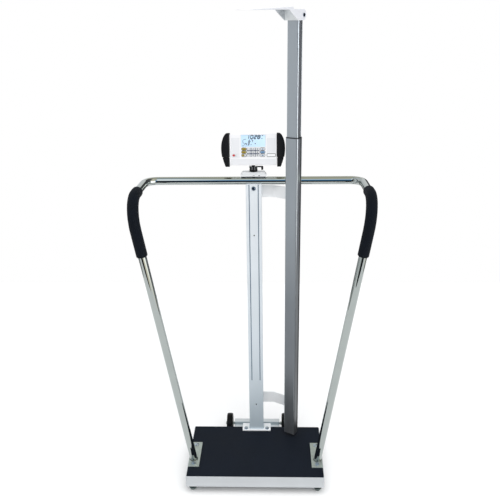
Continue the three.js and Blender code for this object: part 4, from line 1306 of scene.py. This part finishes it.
def make_display():
    """The glass, with its figures, small marks and a bent line in ink."""
    face_at = SHELL_FRONT - 3.3
    bm = bmesh.new()
    slab(bm, lcd_outline(0, 0.6, 2), face_at - 3, face_at, 0.2, 0.2, UPRIGHT, 2)
    lines = (
        ("1028", (-28, -11, 3.5, 18), 117.2, 9.6, 14.2, 4.3),
        ("67", (-18.5, -8.5), 103, 6.2, 9, 2.6),
        ("43", (-33, -22.5), 91.6, 6.2, 8.6, 2.6),
    )
    for figures, lefts, bottom, width, height, stroke in lines:
        for figure, left in zip(figures, lefts):
            digit(bm, figure, left, bottom, width, height, stroke, face_at, 0.12, 0.16, 1)
    for left, right, z, thick in (
        (37, 42, 129.5, 2.4), (34, 39, 118, 2), (-10, -6, 93.4, 2), (7, 11.5, 97.4, 3),
        (-43.5, -39.5, 88.6, 3), (-30.5, -28, 87.6, 2),
    ):
        mark = rounded_rect(right - left, thick, 0.5, 2, ((left + right) / 2, z))
        slab(bm, mark, face_at, face_at + 0.12, 0.01, 0.01, UPRIGHT, 1, 1)
    trace = [(-28, 115.5), (-37, 114.5), (-42, 110), (-42, 102), (-36, 97), (-36.5, 90)]
    for (x0, z0), (x1, z1) in zip(trace, trace[1:]):
        start, end = Vector((x0, z0)), Vector((x1, z1))
        across = (end - start).orthogonal().normalized() * 0.75
        points = [start - across, end - across, end + across, start + across]
        area = sum(a.x * b.y - b.x * a.y for a, b in zip(points, points[1:] + points[:1]))
        points = points if area > 0 else points[::-1]
        slab(bm, [tuple(p) for p in points], face_at, face_at + 0.12, 0.01, 0.01, UPRIGHT, 1, 1)
    make("display_panel", bm, "indicator", ["display", "ink"], place=INDICATOR,
         stands_for=["lcd_panel"], weighted=False)


def make_key(node, at, oval, colour):
    """A key with a rounded rim, a coloured field and a small legend."""
    bm = bmesh.new()
    top = SHELL_FRONT + KEY_PROUD
    slab(bm, key_outline(oval, 0, at), SHELL_FRONT - 4, top, 0.2, 0.5, UPRIGHT, 3, 0)
    flange = key_outline(oval, 1.1, at)
    slab(bm, flange, SHELL_FRONT - 4.5, SHELL_FRONT - 3.3, 0.1, 0.1, UPRIGHT, 1, 0)
    field = key_outline(oval, -0.5, at)
    if node in ("unit_key_3", "power_key"):
        field = [(x, z) for z, x in clip([(z, x) for x, z in field], at[0], False)]
    if node in ("function_key_1", "function_key_3"):
        field = rounded_rect(8, 4, 1.9, 4, at)
    number = int(node.rsplit("_", 1)[-1]) if node[-1].isdigit() else 0
    if oval:
        slab(bm, field, top - 0.1, top + 0.12, 0.01, 0.05, UPRIGHT, 1, 1)
        mark = rounded_rect(OVAL[0] * 0.36, 1.3, 0.5, 3, at)
        slab(bm, mark, top, top + 0.2, 0.01, 0.02, UPRIGHT, 1, 2)
    else:
        digit(bm, str(number), at[0] - 1.7, at[1] - 2.6, 3.4, 5.2, 1.05, top - 0.02, 0.14, 0, 2)
    make(f"{node}_cap", bm, node, ["key_white", colour, "legend"], place=INDICATOR,
         stands_for=[node], weighted=False)


CAP_INNER, CAP_BULGE, CAP_TOP_WIDTH, CAP_BOTTOM_WIDTH = 97.3, 34.8, 16, 17
CAP_LOW, CAP_HIGH = 2.5, 140
CAP_FRONT, CAP_BACK = 31.5, -15
CAP_SPLIT = 41


def bezier(p0, p1, p2, p3, steps):
    points = []
    for k in range(steps + 1):
        t = k / steps
        a, b, c, d = (1 - t) ** 3, 3 * t * (1 - t) ** 2, 3 * t * t * (1 - t), t ** 3
        points.append(tuple(a * p0[i] + b * p1[i] + c * p2[i] + d * p3[i] for i in (0, 1)))
    return points


def cap_outline():
    """The right cap's outline in X and Z, counter-clockwise, on the inner face's line first."""
    low, high = CAP_LOW - 1, CAP_HIGH + 1
    lower = [(0, low), (CAP_BOTTOM_WIDTH - 1, low), (CAP_BOTTOM_WIDTH + 2, low + 2)]
    curve = bezier((CAP_BOTTOM_WIDTH + 4, low + 8), (CAP_BULGE + 4.5, SHELL_MIDDLE - 18),
                   (CAP_BULGE + 5.5, SHELL_MIDDLE + 36), (CAP_TOP_WIDTH + 1, high - 4), 28)
    upper = [(CAP_TOP_WIDTH - 3, high - 1), (CAP_TOP_WIDTH - 8, high), (0, high)]
    return lower + curve + upper


def make_end_caps():
    """Black end caps: a bulging upper part over a narrower clip, with a groove between them."""
    for side, name in ((-1, "left"), (1, "right")):
        bm = bmesh.new()
        outline = cap_outline()
        upper = clip(outline, CAP_SPLIT + 1.4, True)
        lower = clip(offset(outline, 1.6), CAP_SPLIT - 1.4, False)
        core = clip(clip(offset(outline, 4), CAP_SPLIT + 5, False), CAP_SPLIT - 5, True)
        for points, reach, edge in ((upper, 0, 4.0), (lower, 1.2, 2.4), (core, 4, 1.0)):
            placed = [(side * (CAP_INNER + x), z) for x, z in points]
            if side < 0:
                placed = placed[::-1]
            slab(bm, placed, CAP_BACK + reach, CAP_FRONT - reach, edge, edge, UPRIGHT, 5)
        make(f"{name}_end_cap_moulding", bm, "indicator", ["black"], place=INDICATOR,
             stands_for=[f"{name}_end_cap"])


def clip(points, level, above):
    """The part of an outline above or below a level of its second coordinate."""
    kept = []
    count = len(points)
    sign = 1 if above else -1
    for i, here in enumerate(points):
        after = points[(i + 1) % count]
        inside = sign * (here[1] - level) >= 0
        next_inside = sign * (after[1] - level) >= 0
        if inside:
            kept.append(here)
        if inside != next_inside:
            share = (level - here[1]) / (after[1] - here[1])
            kept.append((here[0] + share * (after[0] - here[0]), level))
    return kept


def make_stand():
    """The sheet bracket over the bar, the post, and the swivelling head with its hook."""
    low, high = span("indicator_bracket")
    top_half, slope, thick = 45, 12, 2.5
    half = high.x
    outline = round_corners([
        (-half, low.z, 0), (-half + thick, low.z, 0), (-half + thick, high.z - slope - 1, 1),
        (-top_half + 1, high.z - thick, 1), (top_half - 1, high.z - thick, 1),
        (half - thick, high.z - slope - 1, 1), (half - thick, low.z, 0), (half, low.z, 0),
        (half, high.z - slope, 3), (top_half, high.z, 3), (-top_half, high.z, 3), (-half, high.z - slope, 3),
    ], 5)
    bm = bmesh.new()
    slab(bm, outline, -high.y, -low.y, 0.5, place=UPRIGHT, steps=2)
    # A dark strip along the lower edge of the bracket's lip.
    pad = 3.5
    lip = [(-half + 1, low.z + pad), (half - 1, low.z + pad), (half - 1, high.z - slope)]
    lip += [(top_half - 1, high.z - 1), (-top_half + 1, high.z - 1), (-half + 1, high.z - slope)]
    slab(bm, lip, -low.y - thick, -low.y - 0.2, 0.4, place=UPRIGHT, steps=2)
    lip_dark_strip = rounded_rect(2 * half - 3, pad, 0.4, 2, (0, low.z + pad / 2))
    slab(bm, lip_dark_strip, -low.y - thick, -low.y - 0.6, 0.2, place=UPRIGHT, steps=1, index=1)
    make("indicator_stand_bracket", bm, "root", ["white", "black"],
         stands_for=["indicator_bracket"])
    # Painted shade: dark marks on the bracket's front where its slots are, in place of the shade inside open
    # slots.
    bm = bmesh.new()
    for x, length, height in ((1, 9, 1.2), (24, 8, 2.6)):
        mark = rounded_rect(length, height, height / 2 - 0.1, 4, (x, high.z - slope - 3))
        slab(bm, mark, -low.y - 0.6, -low.y - 0.1, 0.05, place=UPRIGHT, steps=1)
    make("bracket_slot_shadows", bm, "root", ["legend"])

    post_low, post_high = span("swivel_post")
    bm = bmesh.new()
    place = Matrix.Translation((0, BAR_Y, 0))
    seat = post_high.z - 7.7
    lathe(bm, [
        (0, post_low.z), (4.4, post_low.z), (5, post_low.z + 0.6), (5, seat), (16.4, seat), (17, seat + 0.6),
        (17, post_high.z - 0.8), (16.2, post_high.z), (0, post_high.z),
    ], place, 48)
    make("indicator_post", bm, "root", ["black"], stands_for=["swivel_post"])

    disc_low = post_high.z + 0.3
    bm = bmesh.new()
    lathe(bm, [
        (0, disc_low), (16.4, disc_low), (17, disc_low + 0.6), (17, disc_low + 2.4),
        (16.4, disc_low + 3), (0, disc_low + 3),
    ], place, 48)
    pivot_z = joint_at["indicator_tilt"].z / MM
    for side in (-1, 1):
        near, far = sorted((side * 8, side * 14))
        ear = round_corners([(-14, disc_low + 2, 0), (4, disc_low + 2, 0), (4, pivot_z + 3.4, 3),
                             (-14, pivot_z + 3.4, 2)], 5)
        ear = [(BAR_Y + y, z) for y, z in ear]
        slab(bm, ear, near, far, 0.8, place=SIDEWAYS, steps=2)
    guard = rounded_rect(18, pivot_z + 4 - disc_low - 2, 0.5, 2, (0, (pivot_z + 6 + disc_low) / 2))
    slab(bm, guard, -BAR_Y + 11, -BAR_Y + 14, 0.3, place=UPRIGHT, steps=2)
    for x in (-5.5, 5.5):
        rib = Matrix.Translation((x, BAR_Y - 14.2, 0))
        lathe(bm, [(0, disc_low + 2), (2.6, disc_low + 2), (3, disc_low + 2.4), (3, pivot_z + 3.4),
                   (2.6, pivot_z + 4), (0, pivot_z + 4)], rib, 28, 1)
    hook = round_corners([
        (13, pivot_z - 2, 0), (32.5, pivot_z - 2, 2), (32.5, pivot_z - 13, 1.5), (41, pivot_z - 13, 1.5),
        (41, pivot_z + 3, 2.5), (13, pivot_z + 3, 0),
    ], 4)
    slab(bm, hook, -BAR_Y - 6, -BAR_Y - 1.5, 0.6, place=UPRIGHT, steps=2)
    make("indicator_swivel", bm, "swivel", ["black", "rib"], stands_for=["swivel_head"])


# ---- transport wheels -----------------------------------------------------------------------------------
def make_crossbar():
    """A folded sheet behind the deck: a shelf, a web, a top flange and a lip, with an ear at each end."""
    low, high = span("wheel_crossbar")
    deck_back = span("platform_deck")[1].y + 0.3
    sheet, front, shelf, skirt_bottom = 3, 424, 57, 42
    half = high.x
    outline = round_corners([
        (deck_back, skirt_bottom, 0), (deck_back + sheet, skirt_bottom, 0),
        (deck_back + sheet, shelf - sheet, 2),
        (front + sheet, shelf - sheet, 5), (front + sheet, high.z - sheet, 2),
        (high.y - sheet, high.z - sheet, 2), (high.y - sheet, low.z, 0), (high.y, low.z, 0),
        (high.y, high.z, 4), (front, high.z, 4), (front, shelf, 2), (deck_back, shelf, 4),
    ], 5)
    bm = bmesh.new()
    slab(bm, outline, -half, half, 0.5, place=SIDEWAYS, steps=2)
    # Upward faces take the lighter copy of the zinc: painted light on the tops.
    bm.normal_update()
    for face in bm.faces:
        if face.normal.z > 0.8:
            face.material_index = 1
    for side in (-1, 1):
        near, far = sorted((side * half, side * (half - sheet)))
        ear = round_corners([(front + 1, low.z, 3), (high.y - 1, low.z, 3), (high.y - 1, high.z - 1, 2),
                             (front + 1, high.z - 1, 2)], 4)
        slab(bm, ear, near + 0.05, far - 0.05, 0.4, place=SIDEWAYS, steps=2)
    make("wheel_bracket", bm, "root", ["galvanised", "flange"], stands_for=["wheel_crossbar"])


TREAD_ROUND = 7


def make_wheels():
    """Wheels with a rounded tread, a hub and six ribs."""
    for name in ("left", "right"):
        low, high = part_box(f"{name}_wheel")
        at = (low + high) / 2
        width = (high.x - low.x) / MM / 2
        radius = (high.z - low.z) / MM / 2
        half = [
            (5.4, -width + 0.4), (5.8, -width), (14.6, -width), (15, -width + 0.4), (15.4, -width + 6.6),
            (radius - 15, -width + 7), (radius - 14.5, -width + 1.5), (radius - 13, -width),
        ]
        for angle in quarter_turn(8):
            inward, upward = 1 - math.sin(angle), 1 - math.cos(angle)
            half.append((radius - TREAD_ROUND * inward, -width + TREAD_ROUND * upward))
        profile = [*half, *[(r, -z) for r, z in half[::-1]], half[0]]
        bm = bmesh.new()
        place = Matrix.Translation(at) @ Matrix.Scale(MM, 4) @ SIDEWAYS
        lathe(bm, profile, None, 64)
        for k in range(6):
            turn = Matrix.Rotation(2 * PI * k / 6, 4, "Z")
            rib = rounded_rect(radius - 30, 4, 1.2, 3, (radius / 2, 0))
            slab(bm, rib, -width + 3, width - 3, 0.8, place=turn, steps=2)
        make(f"{name}_wheel_tyre", bm, f"wheel_{name}", ["rubber"], place=place,
             stands_for=[f"{name}_wheel"])


def make_all():
    make_deck()
    make_mat()
    make_foot_plates()
    make_feet()
    make_column()
    make_base_plate()
    make_handrail()
    make_grips()
    make_rod()
    make_straps()
    make_headpiece()
    make_shells()
    make_overlay()
    make_display()
    for key in all_keys():
        make_key(*key)
    make_end_caps()
    make_stand()
    make_crossbar()
    make_wheels()
    for node in ("stiffener_frame", "wheel_axle", "tilt_pin"):
        refine(node, "zinc")
    for number in (1, 2, 3, 4):
        refine(f"load_cell_{number}", "mast")
    # The saddle takes the column's finish, with its painted shade by height.
    refine("rail_saddle", "column", 0.0008)
    refine("rod_head_block", "black", 0.0008)
    refine("circuit_board", "board", 0.0001)


make_camera()
make_world()
make_floor()
make_sun()
make_all()
bpy.context.scene.view_settings.view_transform = "Standard"
